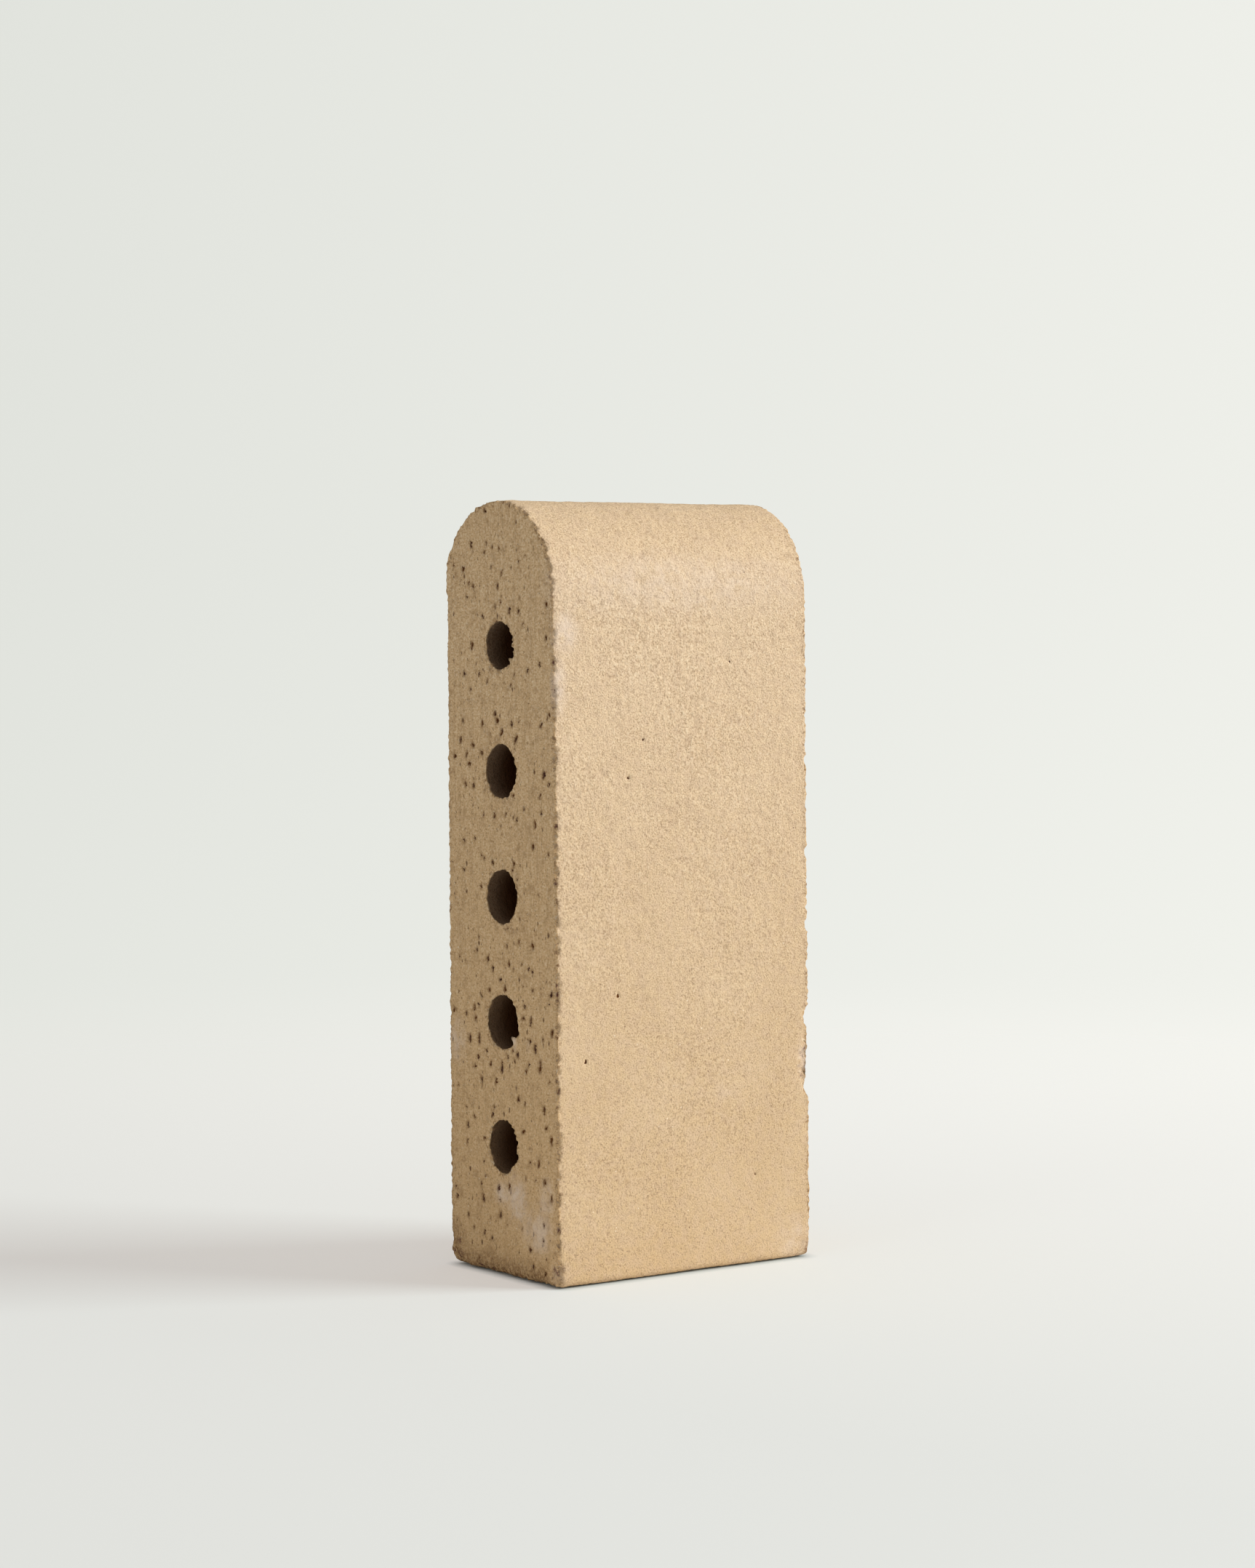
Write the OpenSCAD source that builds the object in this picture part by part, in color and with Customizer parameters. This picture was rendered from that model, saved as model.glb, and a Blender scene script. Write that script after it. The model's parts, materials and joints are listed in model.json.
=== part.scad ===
// Bullnose clay paver: one piece of fired clay, extruded through a die and wire-cut to width.
// The section has a half-round nose at one end, a square foot at the other and a row of core holes.
// X runs along the core holes, from cut face to cut face. Y runs across the thickness.
// Z runs up the length, from the foot at zero to the crown of the nose.

/* [Paver] */
// Length from the foot to the crown of the nose
paver_length = 229; // [190:1:300]
// Width from cut face to cut face, along the core holes
paver_width = 92; // [60:1:150]
// Thickness between the two die faces, and so the diameter of the half-round nose
paver_thickness = 57; // [40:1:76]

/* [Core holes] */
// Number of core holes in the row
core_count = 5; // [2:1:6]
// Diameter of each core hole
core_diameter = 16; // [8:0.5:20]
// Height of the lowest core hole's centre above the foot
core_foot_margin = 38.5; // [20:0.5:50]
// Depth of the highest core hole's centre below the crown of the nose
core_crown_margin = 42.5; // [20:0.5:50]

/* [Arrises] */
// Radius that the die leaves on the foot's two long edges
die_arris_radius = 1.5; // [0.5:0.5:4]
// Radius worn onto the foot's two cut edges
worn_arris_radius = 4; // [1:0.5:8]

/* [Hidden] */

// How far a cutting shape runs past the clay
overrun = 5;
// Number of sides used to draw a full circle
circle_sides = 96;

// The nose is half a circle, tangent to both die faces
nose_radius = paver_thickness / 2;
// The die faces run straight from the foot to this height, where the nose springs
spring_height = paver_length - nose_radius;
// The core holes share what lies between the two margins
core_pitch = (paver_length - core_foot_margin - core_crown_margin) / (core_count - 1);

// Lays a drawing of Y and Z flat along the core holes, from cut face to cut face
module along_width(length) {
    rotate([90, 0, 90])
        linear_extrude(height = length, center = true)
            children();
}

// Lays a drawing of X and Z flat across the thickness
module across_thickness(length) {
    rotate([90, 0, 0])
        linear_extrude(height = length, center = true)
            children();
}

// What the die lets through: a straight slab that ends in a half-round nose
module die_section() {
    translate([-paver_thickness / 2, 0])
        square([paver_thickness, spring_height]);
    translate([0, spring_height])
        circle(r = nose_radius, $fn = circle_sides);
}

// The waste outside a rounded lower corner at the drawing's origin, with the clay up and to the right
module arris_waste(radius) {
    difference() {
        translate([-overrun, -overrun])
            square(overrun + radius);
        translate([radius, radius])
            circle(r = radius, $fn = circle_sides);
    }
}

// Both lower corners of a slab of the given breadth
module arris_waste_pair(breadth, radius) {
    for (side = [0, 1])
        mirror([side, 0])
            translate([-breadth / 2, 0])
                arris_waste(radius);
}

// One core hole from cut face to cut face
module core_hole() {
    rotate([0, 90, 0])
        cylinder(d = core_diameter, h = paver_width + 2 * overrun, center = true, $fn = circle_sides);
}

// The fired paver
module paver() {
    color("burlywood")
        difference() {
            along_width(paver_width)
                die_section();
            along_width(paver_width + 2 * overrun)
                arris_waste_pair(paver_thickness, die_arris_radius);
            across_thickness(paver_thickness + 2 * overrun)
                arris_waste_pair(paver_width, worn_arris_radius);
            for (index = [0 : core_count - 1])
                translate([0, 0, core_foot_margin + index * core_pitch])
                    core_hole();
        }
}

paver();
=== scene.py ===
# %% [markdown]
# # Dressing a bullnose clay paver
#
# A bullnose paver is one bar of buff clay. It is pushed through a die, which gives it a sandy skin,
# two flat faces, a half-round nose and a row of core holes. A wire then cuts it to width, and the two
# cut faces stay torn and pitted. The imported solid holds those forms. This lesson builds the clay
# surface itself, in millimetres, over the same sizes, and then gives it a finish, a floor and light.

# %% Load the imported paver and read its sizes
import json
import math
from functools import partial

import bpy
import numpy as np
from mathutils import Matrix, Vector, noise
from mathutils.geometry import delaunay_2d_cdt


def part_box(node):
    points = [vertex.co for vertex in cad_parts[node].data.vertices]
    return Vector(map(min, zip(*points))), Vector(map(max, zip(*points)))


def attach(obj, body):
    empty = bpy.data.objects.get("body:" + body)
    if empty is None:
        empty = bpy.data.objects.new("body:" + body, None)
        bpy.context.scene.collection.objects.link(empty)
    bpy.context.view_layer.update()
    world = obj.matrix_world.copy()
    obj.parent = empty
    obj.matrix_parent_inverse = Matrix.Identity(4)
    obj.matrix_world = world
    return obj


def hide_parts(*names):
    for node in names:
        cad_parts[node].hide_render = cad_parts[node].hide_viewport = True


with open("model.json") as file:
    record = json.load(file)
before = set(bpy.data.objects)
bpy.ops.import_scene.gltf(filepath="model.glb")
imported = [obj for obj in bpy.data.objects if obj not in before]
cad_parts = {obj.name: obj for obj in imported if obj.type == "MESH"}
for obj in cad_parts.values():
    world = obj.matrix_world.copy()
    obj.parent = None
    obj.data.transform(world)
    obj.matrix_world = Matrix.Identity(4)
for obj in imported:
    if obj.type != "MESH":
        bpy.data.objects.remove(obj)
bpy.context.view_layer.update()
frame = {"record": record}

MM = 0.001
# Added to a distance that something is divided by, in case it is nought
TINY = 1e-9
paver_low, paver_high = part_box("paver")
width, thickness, length = [side / MM for side in paver_high - paver_low]
half_width = width / 2
nose_radius = thickness / 2
spring_height = length - nose_radius

core_mounts = [mount for mount in frame["record"]["mounts"] if mount["kind"] == "bore"]
core_heights = np.array(sorted(mount["pos_m"][2] / MM for mount in core_mounts))
core_radius = core_mounts[0]["dims"]["r_mm"]
print(f"paver {width:.1f} x {thickness:.1f} x {length:.1f} mm, {len(core_heights)} core holes")

# %% [markdown]
# ## The camera
#
# The view is what every later choice is judged by, so it comes first. A camera can be aimed with a
# Track To constraint, but here the place, the heading, the slight downward pitch and the slight roll
# are all known, so three plain rotations set it, and no constraint is left behind.

# %% Set the camera
camera_place = Vector((-0.6123, -0.8757, 0.1876))
camera_heading = math.radians(-34.96)
camera_pitch = math.radians(2.31)
camera_roll = math.radians(0.56)
camera_lens = 81.37

camera_data = bpy.data.cameras.new("paver_camera")
camera_data.lens = camera_lens
camera = bpy.data.objects.new("paver_camera", camera_data)
bpy.context.scene.collection.objects.link(camera)
camera.matrix_world = (
    Matrix.Translation(camera_place)
    @ Matrix.Rotation(camera_heading, 4, "Z")
    @ Matrix.Rotation(math.pi / 2 - camera_pitch, 4, "X")
    @ Matrix.Rotation(-camera_roll, 4, "Z")
)
bpy.context.scene.camera = camera
print(f"camera {camera_place.length:.3f} m from the middle of the foot")

# %% [markdown]
# ## Walking round the die
#
# The die's opening is a line that can be walked: half the foot, a small arris, a straight face, the
# half-round nose, and back again. Each stretch is a run and a right-hand turn. Written as a walk, any
# distance round the paver becomes a point and a way out of the clay, which is how the flat skin is
# rolled up later. A list of outline points would say the same, but would hide the radii.

# %% Describe the die's outline as a walk
DIE_ARRIS = 1.5
foot_run = thickness / 2 - DIE_ARRIS
face_run = spring_height - DIE_ARRIS
arris_stretch = (DIE_ARRIS * math.pi / 2, math.pi / 2)
section_walk = (
    (foot_run, 0.0),
    arris_stretch,
    (face_run, 0.0),
    (nose_radius * math.pi, math.pi),
    (face_run, 0.0),
    arris_stretch,
    (foot_run, 0.0),
)
girth = sum(run for run, turn in section_walk)


def stretch_step(along, run, turn, heading):
    """How far across and up one stretch has led, after each distance along it."""
    if not turn:
        return along[:, None] * np.array((math.cos(heading), math.sin(heading)))
    bend = turn / run
    facing = heading - bend * along
    return np.column_stack((math.sin(heading) - np.sin(facing), np.cos(facing) - math.cos(heading))) / bend


def section_at(walked):
    """Y and Z on the die's outline, that far round from the middle of the foot, front face first."""
    places = np.zeros((len(walked), 2))
    corner = np.zeros(2)
    heading = math.pi
    begun = 0.0
    for run, turn in section_walk:
        here = (walked >= begun) & (walked <= begun + run)
        places[here] = corner + stretch_step(walked[here] - begun, run, turn, heading)
        corner = corner + stretch_step(np.array([run]), run, turn, heading)[0]
        heading -= turn
        begun += run
    return np.round(places, 6)


print(f"the skin is {girth:.1f} mm round and {width:.1f} mm wide")

# %% [markdown]
# ## How deep a point lies
#
# Wear, chips and colour all depend on how near a point is to an edge. Three plain measures answer
# that everywhere: the depth under the nearest cut face, under the die skin, and behind a core wall. A
# point of the surface has a depth of nought under at least one of them, and an arris has two.

# %% Measure depth under each kind of face
def cut_depth(points):
    """Depth under the nearer cut face, and the way into the clay from it."""
    into = np.zeros_like(points)
    into[:, 0] = -np.sign(points[:, 0])
    return half_width - np.abs(points[:, 0]), into


def skin_depth(points):
    """Depth under the die skin, and the way into the clay from it."""
    across, up = points[:, 1], points[:, 2]
    side = np.sign(across)
    from_spring = np.hypot(across, up - spring_height) + TINY
    over_arris = np.abs(across) - foot_run
    under_arris = DIE_ARRIS - up
    from_arris = np.hypot(over_arris, under_arris) + TINY
    nose = up > spring_height
    corner = (over_arris > 0) & (under_arris > 0)
    foot = up < thickness / 2 - np.abs(across)
    depth = np.where(foot, up, thickness / 2 - np.abs(across))
    into_y = np.where(foot, 0.0, -side)
    into_z = np.where(foot, 1.0, 0.0)
    depth = np.where(corner, DIE_ARRIS - from_arris, depth)
    into_y = np.where(corner, -side * over_arris / from_arris, into_y)
    into_z = np.where(corner, under_arris / from_arris, into_z)
    depth = np.where(nose, nose_radius - from_spring, depth)
    into_y = np.where(nose, -across / from_spring, into_y)
    into_z = np.where(nose, (spring_height - up) / from_spring, into_z)
    return depth, np.column_stack((np.zeros(len(points)), into_y, into_z))


def core_depth(points):
    """Depth behind the nearest core wall, and the way into the clay from it."""
    heights = core_heights[np.abs(points[:, 2:3] - core_heights).argmin(axis=1)]
    from_axis = np.column_stack((np.zeros(len(points)), points[:, 1], points[:, 2] - heights))
    distance = np.linalg.norm(from_axis, axis=1) + TINY
    return distance - core_radius, from_axis / distance[:, None]


def smooth_step(value, begin, end):
    """Nought before begin, one after end, and a soft ramp between."""
    share = np.clip((value - begin) / (end - begin), 0, 1)
    return share * share * (3 - 2 * share)


def fade_out(value, begin, end):
    """One before begin, nought after end, and a soft ramp between."""
    return 1 - smooth_step(value, begin, end)


def between(span, share):
    """The value at that share of the way from one end of a span to the other."""
    return span[0] + share * (span[1] - span[0])


between_cores = np.array([[0.0, 0.0, core_heights[:2].mean()]])
print(f"the clay between two core holes is {2 * core_depth(between_cores)[0][0]:.1f} mm thick")

# %% [markdown]
# ## Points on flat sheets
#
# A surface is easiest to fill with points while it is flat. The skin unrolls to a long strip, each
# core wall to a short one, and the cut faces are flat already. An even grid would show its rows in
# the light, so the points come from a honeycomb with each one nudged, and from a finer honeycomb
# close to an arris, where the clay is chipped and the outline is seen.

# %% Fill a sheet with graded points
NUDGE_SHARE = 0.22
BORDER_SHARE = 0.55
ARRIS_SPACING = 0.48
MOUTH_SPACING = 0.36
# Each grade: the distance from the arris where it begins, and the gap between its points
OPEN_GRADES = ((0.0, ARRIS_SPACING), (1.3, 0.85), (3.4, 1.4))
CUT_GRADES = ((0.0, ARRIS_SPACING), (1.3, 0.8), (3.4, 0.95))
CORE_GRADES = ((0.0, MOUTH_SPACING), (0.8, 0.8), (2.6, 1.5), (7.0, 2.6))


def honeycomb(spacing, low, high, shaker):
    """Points of a honeycomb over a rectangle, each nudged off its place."""
    columns = np.arange(low[0], high[0], spacing)
    rows = np.arange(low[1], high[1], spacing * math.sqrt(3) / 2)
    across, up = np.meshgrid(columns, rows)
    across[1::2] += spacing / 2
    points = np.column_stack((across.ravel(), up.ravel()))
    return points + shaker.uniform(-NUDGE_SHARE, NUDGE_SHARE, points.shape) * spacing


def graded_points(low, high, arris_distance, grades, shaker):
    """Fine points near an arris and coarser ones further in, none on the border itself."""
    kept = []
    ends = [near for near, spacing in grades[1:]] + [math.inf]
    for (near, spacing), end in zip(grades, ends):
        points = honeycomb(spacing, low, high, shaker)
        distance = arris_distance(points)
        kept.append(points[(distance > near + BORDER_SHARE * spacing) & (distance <= end)])
    return np.concatenate(kept)


print(f"points {ARRIS_SPACING} mm apart at an arris, and {OPEN_GRADES[-1][1]} mm on the open skin")

# %% [markdown]
# ## Pits
#
# Where the wire dragged a hard grain out of the clay it left a pit, longer than wide, and dark inside.
# A pit is smaller than the mesh around it, so displacing whatever points happen to be there would miss
# most of them. Instead each pit brings its own points: a rim, a ring down its side and a ring on its
# floor, with the depth that each has to sink.

# %% Make the rings of a pit
# Each ring: its share of the pit's size, and of its depth
PIT_RINGS = ((1.0, 0.06), (0.72, 0.85), (0.25, 1.0))
PIT_POINT_GAP = 0.42
PIT_CLEARANCE = 0.3
LEAST_RING_POINTS = 8
# How far a rim swells in and out, twice in a turn and three times in a turn
PIT_SWELLS = (0.18, 0.2)


def pit_frame(points, pit):
    """Places as seen from the middle of a pit: along its length and across it."""
    turn = math.radians(pit[4])
    away = points - np.array(pit[:2])
    along = away[:, 0] * math.sin(turn) + away[:, 1] * math.cos(turn)
    beside = away[:, 0] * math.cos(turn) - away[:, 1] * math.sin(turn)
    return along, beside


def pit_points(pit, shaker):
    """The points of one pit, and how far each sinks."""
    across, up, long, wide, lean, deep = pit
    turn = math.radians(lean)
    bulges = shaker.uniform(0, 2 * math.pi, 2)
    places, sinks = [], []
    for size_share, depth_share in PIT_RINGS:
        count = max(LEAST_RING_POINTS, round(math.pi * size_share * (long + wide) / 2 / PIT_POINT_GAP))
        angle = (np.arange(count) + shaker.uniform(0, 1)) * 2 * math.pi / count
        wobble = 1 + PIT_SWELLS[0] * np.cos(2 * angle + bulges[0])
        wobble += PIT_SWELLS[1] * np.cos(3 * angle + bulges[1])
        along = np.cos(angle) * long / 2 * size_share * wobble
        beside = np.sin(angle) * wide / 2 * size_share * wobble
        places.append(np.column_stack((
            across + along * math.sin(turn) + beside * math.cos(turn),
            up + along * math.cos(turn) - beside * math.sin(turn),
        )))
        sinks.append(np.full(count, deep * depth_share))
    return np.concatenate(places), np.concatenate(sinks)


def dig_pits(points, pits, shaker):
    """Clears the points that lie in pits, and adds the pits' own."""
    open_field = np.ones(len(points), bool)
    places, sinks = [], []
    for pit in pits:
        along, beside = pit_frame(points, pit)
        reach = (along / (pit[2] / 2 + PIT_CLEARANCE)) ** 2 + (beside / (pit[3] / 2 + PIT_CLEARANCE)) ** 2
        open_field &= reach > 1
        own_places, own_sinks = pit_points(pit, shaker)
        places.append(own_places)
        sinks.append(own_sinks)
    sheet = np.concatenate([points[open_field]] + places)
    return sheet, np.concatenate([np.zeros(open_field.sum())] + sinks)


print(f"each pit has {len(PIT_RINGS)} rings of points, {PIT_POINT_GAP} mm apart")

# %% [markdown]
# ## Where the pits are
#
# The larger pits of the near cut face are placed one by one, across the thickness and up from the
# foot, so that they gather above and below the core holes as they do on the real paver. The many small
# ones follow a rule: they crowd towards the mouths and the foot, stand mostly upright in the way that
# the wire went, and lean in towards a mouth that lies below them. A seeded generator draws them, so
# every run gives the same paver.

# %% Choose the pits of the cut faces
PIT_DEEP_SHARE = 0.75
# Each pit: across the thickness, up from the foot, long, wide, in millimetres, and its lean in degrees
NEAR_FACE_PITS = (
    (6, 216.5, 1.3, 1.0, 0), (3, 215.5, 1.2, 0.9, -20), (-0.5, 215, 1.3, 0.6, -15),
    (7.5, 214, 1.2, 0.9, 10), (7, 226, 1.2, 1.8, -30), (18.5, 209, 1.7, 1.0, 10),
    (0.5, 204, 2.0, 1.0, 0), (-10.5, 196.5, 1.4, 1.2, 0), (15, 186.5, 2.4, 1.1, -12),
    (-25, 188.5, 1.8, 1.1, 0), (2.5, 166.5, 1.6, 1.3, -25), (1.5, 164.5, 1.8, 1.7, 10),
    (9.5, 163.5, 1.7, 0.8, -12), (-1, 161, 2.9, 1.0, -20), (-6.5, 163.5, 1.6, 1.5, 20),
    (-8.5, 159, 3.2, 1.3, -25), (24.5, 153.5, 1.5, 1.3, 0), (18, 154, 1.7, 1.0, -10),
    (14.5, 145, 1.5, 1.4, 0), (-26, 166.5, 1.4, 1.1, 0), (-23, 149, 3.0, 0.9, -25),
    (-21, 143, 1.9, 0.7, -5), (21.5, 158.5, 2.6, 0.9, -15), (-6.5, 142.5, 1.0, 1.3, 0),
    (-18, 134.5, 2.6, 0.7, 0), (-17, 128, 2.1, 1.0, 0), (9, 123.5, 1.1, 1.1, 0),
    (4.5, 122.5, 1.6, 1.3, 25), (-6.5, 122.5, 1.5, 1.4, 10), (-16, 99, 2.2, 1.0, 0),
    (7.5, 93.5, 2.6, 0.9, -8), (5, 91, 1.8, 1.0, 0), (1, 88, 1.0, 1.6, 0), (6.5, 84.5, 1.5, 0.9, 0),
    (-1.5, 85.5, 1.9, 1.2, 12), (26, 77, 2.1, 1.0, -8), (19.5, 76.5, 1.5, 1.2, 10),
    (15, 78.5, 2.2, 0.9, -6), (14.5, 75.5, 1.9, 0.9, -6), (17.5, 69, 3.0, 1.1, -5),
    (12.5, 69.5, 3.8, 1.2, -3), (-11.5, 81, 1.4, 1.1, 0), (-15, 77, 3.4, 0.8, -8),
    (-14.5, 71, 1.5, 1.0, 0), (-17, 69, 2.8, 0.8, 6), (0.5, 62, 4.2, 1.3, -4), (-19.5, 64, 4.2, 1.1, 0),
    (-25.5, 85.5, 2.0, 1.4, -20), (-8, 66.5, 2.0, 0.9, -5), (13, 64, 1.5, 1.1, 0),
    (-25, 43, 2.7, 1.0, 0), (-21.5, 51.5, 2.6, 1.1, 0), (-18.5, 35.5, 2.7, 0.7, 0),
    (-21.5, 30.5, 1.8, 1.3, 0), (-25, 26, 2.2, 1.0, 0), (2.5, 26, 2.6, 0.8, 0), (11, 22, 2.4, 1.0, 0),
    (2, 18, 2.4, 1.0, 0), (6.5, 10.5, 1.4, 1.0, 0), (19, 43, 2.1, 0.9, 0),
)
SMALL_PIT_COUNT = 120
SMALL_PIT_LONG = (1.0, 2.4)
SMALL_PIT_SHRINK = (0.6, 1)
SMALL_PIT_WIDE_SHARE = (0.35, 0.6)
PIT_GAP = 0.5
PIT_MARGIN = 0.9
# The chance that a place takes a pit: anywhere, more at a mouth, and more at the foot
CHANCE_ANYWHERE = 0.2
CHANCE_AT_MOUTH = 0.8
CHANCE_AT_FOOT = 0.25
MOUTH_REACH = 4
# A pit leans towards a point this far below it, the less so the higher it stands over a mouth
LEAN_DROP = 14
LEAN_REACH = 8
LEAN_MEAN = -6
LEAN_SPREAD = 9


def clear_of(place, reach, pits):
    """True where a new pit keeps off the others."""
    return all(math.dist(place, pit[:2]) > reach + pit[2] / 2 + PIT_GAP for pit in pits)


def scatter_pits(pits, count, shaker):
    """Adds small pits to those chosen by hand, crowded near the core mouths and the foot."""
    pits = list(pits)
    wanted = len(pits) + count
    while len(pits) < wanted:
        across = shaker.uniform(-nose_radius, nose_radius)
        up = shaker.uniform(0, length)
        long = shaker.uniform(*SMALL_PIT_LONG) * shaker.uniform(*SMALL_PIT_SHRINK)
        wide = long * shaker.uniform(*SMALL_PIT_WIDE_SHARE)
        place = np.array([[0.0, across, up]])
        behind_mouth = core_depth(place)[0][0]
        margin = min(behind_mouth, skin_depth(place)[0][0])
        chance = CHANCE_ANYWHERE + CHANCE_AT_MOUTH * math.exp(-behind_mouth / MOUTH_REACH)
        chance += CHANCE_AT_FOOT * (1 - up / length)
        if margin < long / 2 + PIT_MARGIN or shaker.uniform() > chance:
            continue
        if not clear_of((across, up), long / 2, pits):
            continue
        below = core_heights[core_heights < up]
        above_mouth = up - below[-1] - core_radius if len(below) else length
        lean = math.degrees(math.atan2(across, LEAN_DROP)) * math.exp(-above_mouth / LEAN_REACH)
        lean += shaker.normal(LEAN_MEAN, LEAN_SPREAD)
        pits.append((across, up, long, wide, lean, wide * PIT_DEEP_SHARE))
    return pits


pit_shaker = np.random.default_rng(11)
near_pits = [pit + (pit[3] * PIT_DEEP_SHARE,) for pit in NEAR_FACE_PITS]
near_pits = scatter_pits(near_pits, SMALL_PIT_COUNT, pit_shaker)
far_pits = scatter_pits([], SMALL_PIT_COUNT + len(NEAR_FACE_PITS), pit_shaker)
print(f"{len(near_pits)} pits on the near cut face and {len(far_pits)} on the far one")

# %% [markdown]
# The die skin is almost whole. It has a handful of grains lost on the front face, listed one by one, and
# a few more at random on the back, so that no side is left bare. The skin is a strip when it is dug, so
# a height on a face is turned into a distance walked round the die.

# %% Choose the pits of the die skin
front_start = foot_run + DIE_ARRIS * math.pi / 2 - DIE_ARRIS
# Each pit: height above the foot, place along the width, long, wide and lean
FRONT_FACE_PITS = (
    (84, -24.5, 1.8, 0.9, 5), (65.5, -36, 1.5, 1.1, 0), (158.5, -14.5, 0.9, 0.9, 0),
    (147.5, -20, 1.0, 0.9, 0), (181, 17.5, 0.8, 0.7, 0), (27, 25.5, 0.9, 0.7, 0),
)
SKIN_PIT_DEEP_SHARE = 0.3
BACK_PIT_COUNT = 9
BACK_PIT_SIZE = (0.6, 1.1)
BACK_PIT_LONG_SHARE = 1.3
# How far the random pits keep off the foot, the nose and the cut faces
FOOT_CLEAR = 15
NOSE_CLEAR = 10
CUT_CLEAR = 6

# The walk runs sideways on the strip, so the length and the width of a pit change places
skin_pits = [
    (front_start + up, along, wide, long, lean, wide * SKIN_PIT_DEEP_SHARE)
    for up, along, long, wide, lean in FRONT_FACE_PITS
]
for _ in range(BACK_PIT_COUNT):
    size = pit_shaker.uniform(*BACK_PIT_SIZE)
    walked = girth - front_start - pit_shaker.uniform(FOOT_CLEAR, spring_height - NOSE_CLEAR)
    along = pit_shaker.uniform(-half_width + CUT_CLEAR, half_width - CUT_CLEAR)
    skin_pits.append((walked, along, size, size * BACK_PIT_LONG_SHARE, 0, size * SKIN_PIT_DEEP_SHARE))
print(f"{len(skin_pits)} pits on the die skin")

# %% [markdown]
# ## Triangles
#
# Blender's own Delaunay triangulation joins scattered points into even triangles and keeps the border
# that it is given. It works on flat points only, which is why every surface is still flat here.

# %% Triangulate the sheets
# Asks for the triangles inside the border only
INSIDE_BORDER = 1
# Points nearer to each other than this would fall together
SAME_PLACE = 1e-6


def ring_edges(first, count):
    """The edges of a closed run of points."""
    return [(first + step, first + (step + 1) % count) for step in range(count)]


def triangulate(points, edges):
    """Triangles over flat points, inside the given border."""
    corners = [Vector(point) for point in points]
    result = delaunay_2d_cdt(corners, edges, [], INSIDE_BORDER, SAME_PLACE, False)
    if len(result[0]) != len(points):
        raise ValueError("two points of a sheet fell together")
    return np.array(result[2])


def spacing_at(depth, grades):
    """The gap between points at that depth under a cut face."""
    spacing = np.zeros(np.shape(depth))
    for near, gap in grades:
        spacing = np.where(depth >= near, gap, spacing)
    return spacing


def seam_places(grades):
    """Places along a seam, from one cut face to the other, as close together as the sheet's own points."""
    near_half = [0.0]
    while near_half[-1] < half_width:
        near_half.append(near_half[-1] + float(spacing_at(near_half[-1], grades)))
    steps = np.array(near_half[1:-1])
    return np.concatenate((steps - half_width, [0.0], half_width - steps[::-1]))


def strip_sheet(strip_length, marks, grades, pits, shaker):
    """A strip to be rolled up: its long sides lie on the two cut faces and its ends meet in a seam."""
    walked = np.linspace(0, strip_length, marks + 1)
    seam = seam_places(grades)
    border = np.concatenate((
        np.column_stack((walked, np.full(marks + 1, -half_width))),
        np.column_stack((np.full(len(seam), strip_length), seam)),
        np.column_stack((walked[::-1], np.full(marks + 1, half_width))),
        np.column_stack((np.zeros(len(seam)), seam[::-1])),
    ))

    def arris_distance(points):
        return half_width - np.abs(points[:, 1])

    field = graded_points((0, -half_width), (strip_length, half_width), arris_distance, grades, shaker)
    to_seam = np.minimum(field[:, 0], strip_length - field[:, 0])
    off_seam = to_seam > BORDER_SHARE * spacing_at(arris_distance(field), grades)
    field, sinks = dig_pits(field[off_seam], pits, shaker)
    points = np.concatenate((border, field))
    sinks = np.concatenate((np.zeros(len(border)), sinks))
    return points, sinks, triangulate(points, ring_edges(0, len(border)))


skin_marks = round(girth / ARRIS_SPACING)
mouth_girth = 2 * math.pi * core_radius
mouth_marks = round(mouth_girth / MOUTH_SPACING)
sheet_shaker = np.random.default_rng(23)
skin_sheet = strip_sheet(girth, skin_marks, OPEN_GRADES, skin_pits, sheet_shaker)
core_sheet = strip_sheet(mouth_girth, mouth_marks, CORE_GRADES, [], sheet_shaker)
print(f"skin {len(skin_sheet[2])} triangles, each core wall {len(core_sheet[2])}")

# %% [markdown]
# A cut face has the die's outline round it and five mouths in it. The triangulation fills the mouths
# too, so the triangles that touch nothing but one mouth's own ring are dropped again.

# %% Triangulate the two cut faces
def cut_sheet(pits, shaker):
    """One cut face in Y and Z, with its core mouths left open."""
    rim = section_at(np.linspace(0, girth, skin_marks + 1)[:-1])
    turns = np.arange(mouth_marks) * 2 * math.pi / mouth_marks
    ring = core_radius * np.column_stack((np.cos(turns), np.sin(turns)))
    mouths = np.concatenate([ring + (0, height) for height in core_heights])

    def arris_distance(points):
        solid = np.column_stack((np.zeros(len(points)), points))
        return np.minimum(skin_depth(solid)[0], core_depth(solid)[0])

    field = graded_points((-nose_radius, 0), (nose_radius, length), arris_distance, CUT_GRADES, shaker)
    field, sinks = dig_pits(field, pits, shaker)
    points = np.concatenate((rim, mouths, field))
    sinks = np.concatenate((np.zeros(len(rim) + len(mouths)), sinks))
    edges = ring_edges(0, len(rim))
    owner = np.full(len(points), -1)
    for index in range(len(core_heights)):
        first = len(rim) + index * mouth_marks
        edges += ring_edges(first, mouth_marks)
        owner[first : first + mouth_marks] = index
    triangles = triangulate(points, edges)
    owners = owner[triangles]
    in_mouth = (owners[:, 0] >= 0) & (owners[:, 0] == owners[:, 1]) & (owners[:, 1] == owners[:, 2])
    return points, sinks, triangles[~in_mouth]


near_sheet = cut_sheet(near_pits, sheet_shaker)
far_sheet = cut_sheet(far_pits, sheet_shaker)
print(f"near cut face {len(near_sheet[2])} triangles, far cut face {len(far_sheet[2])}")

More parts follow.
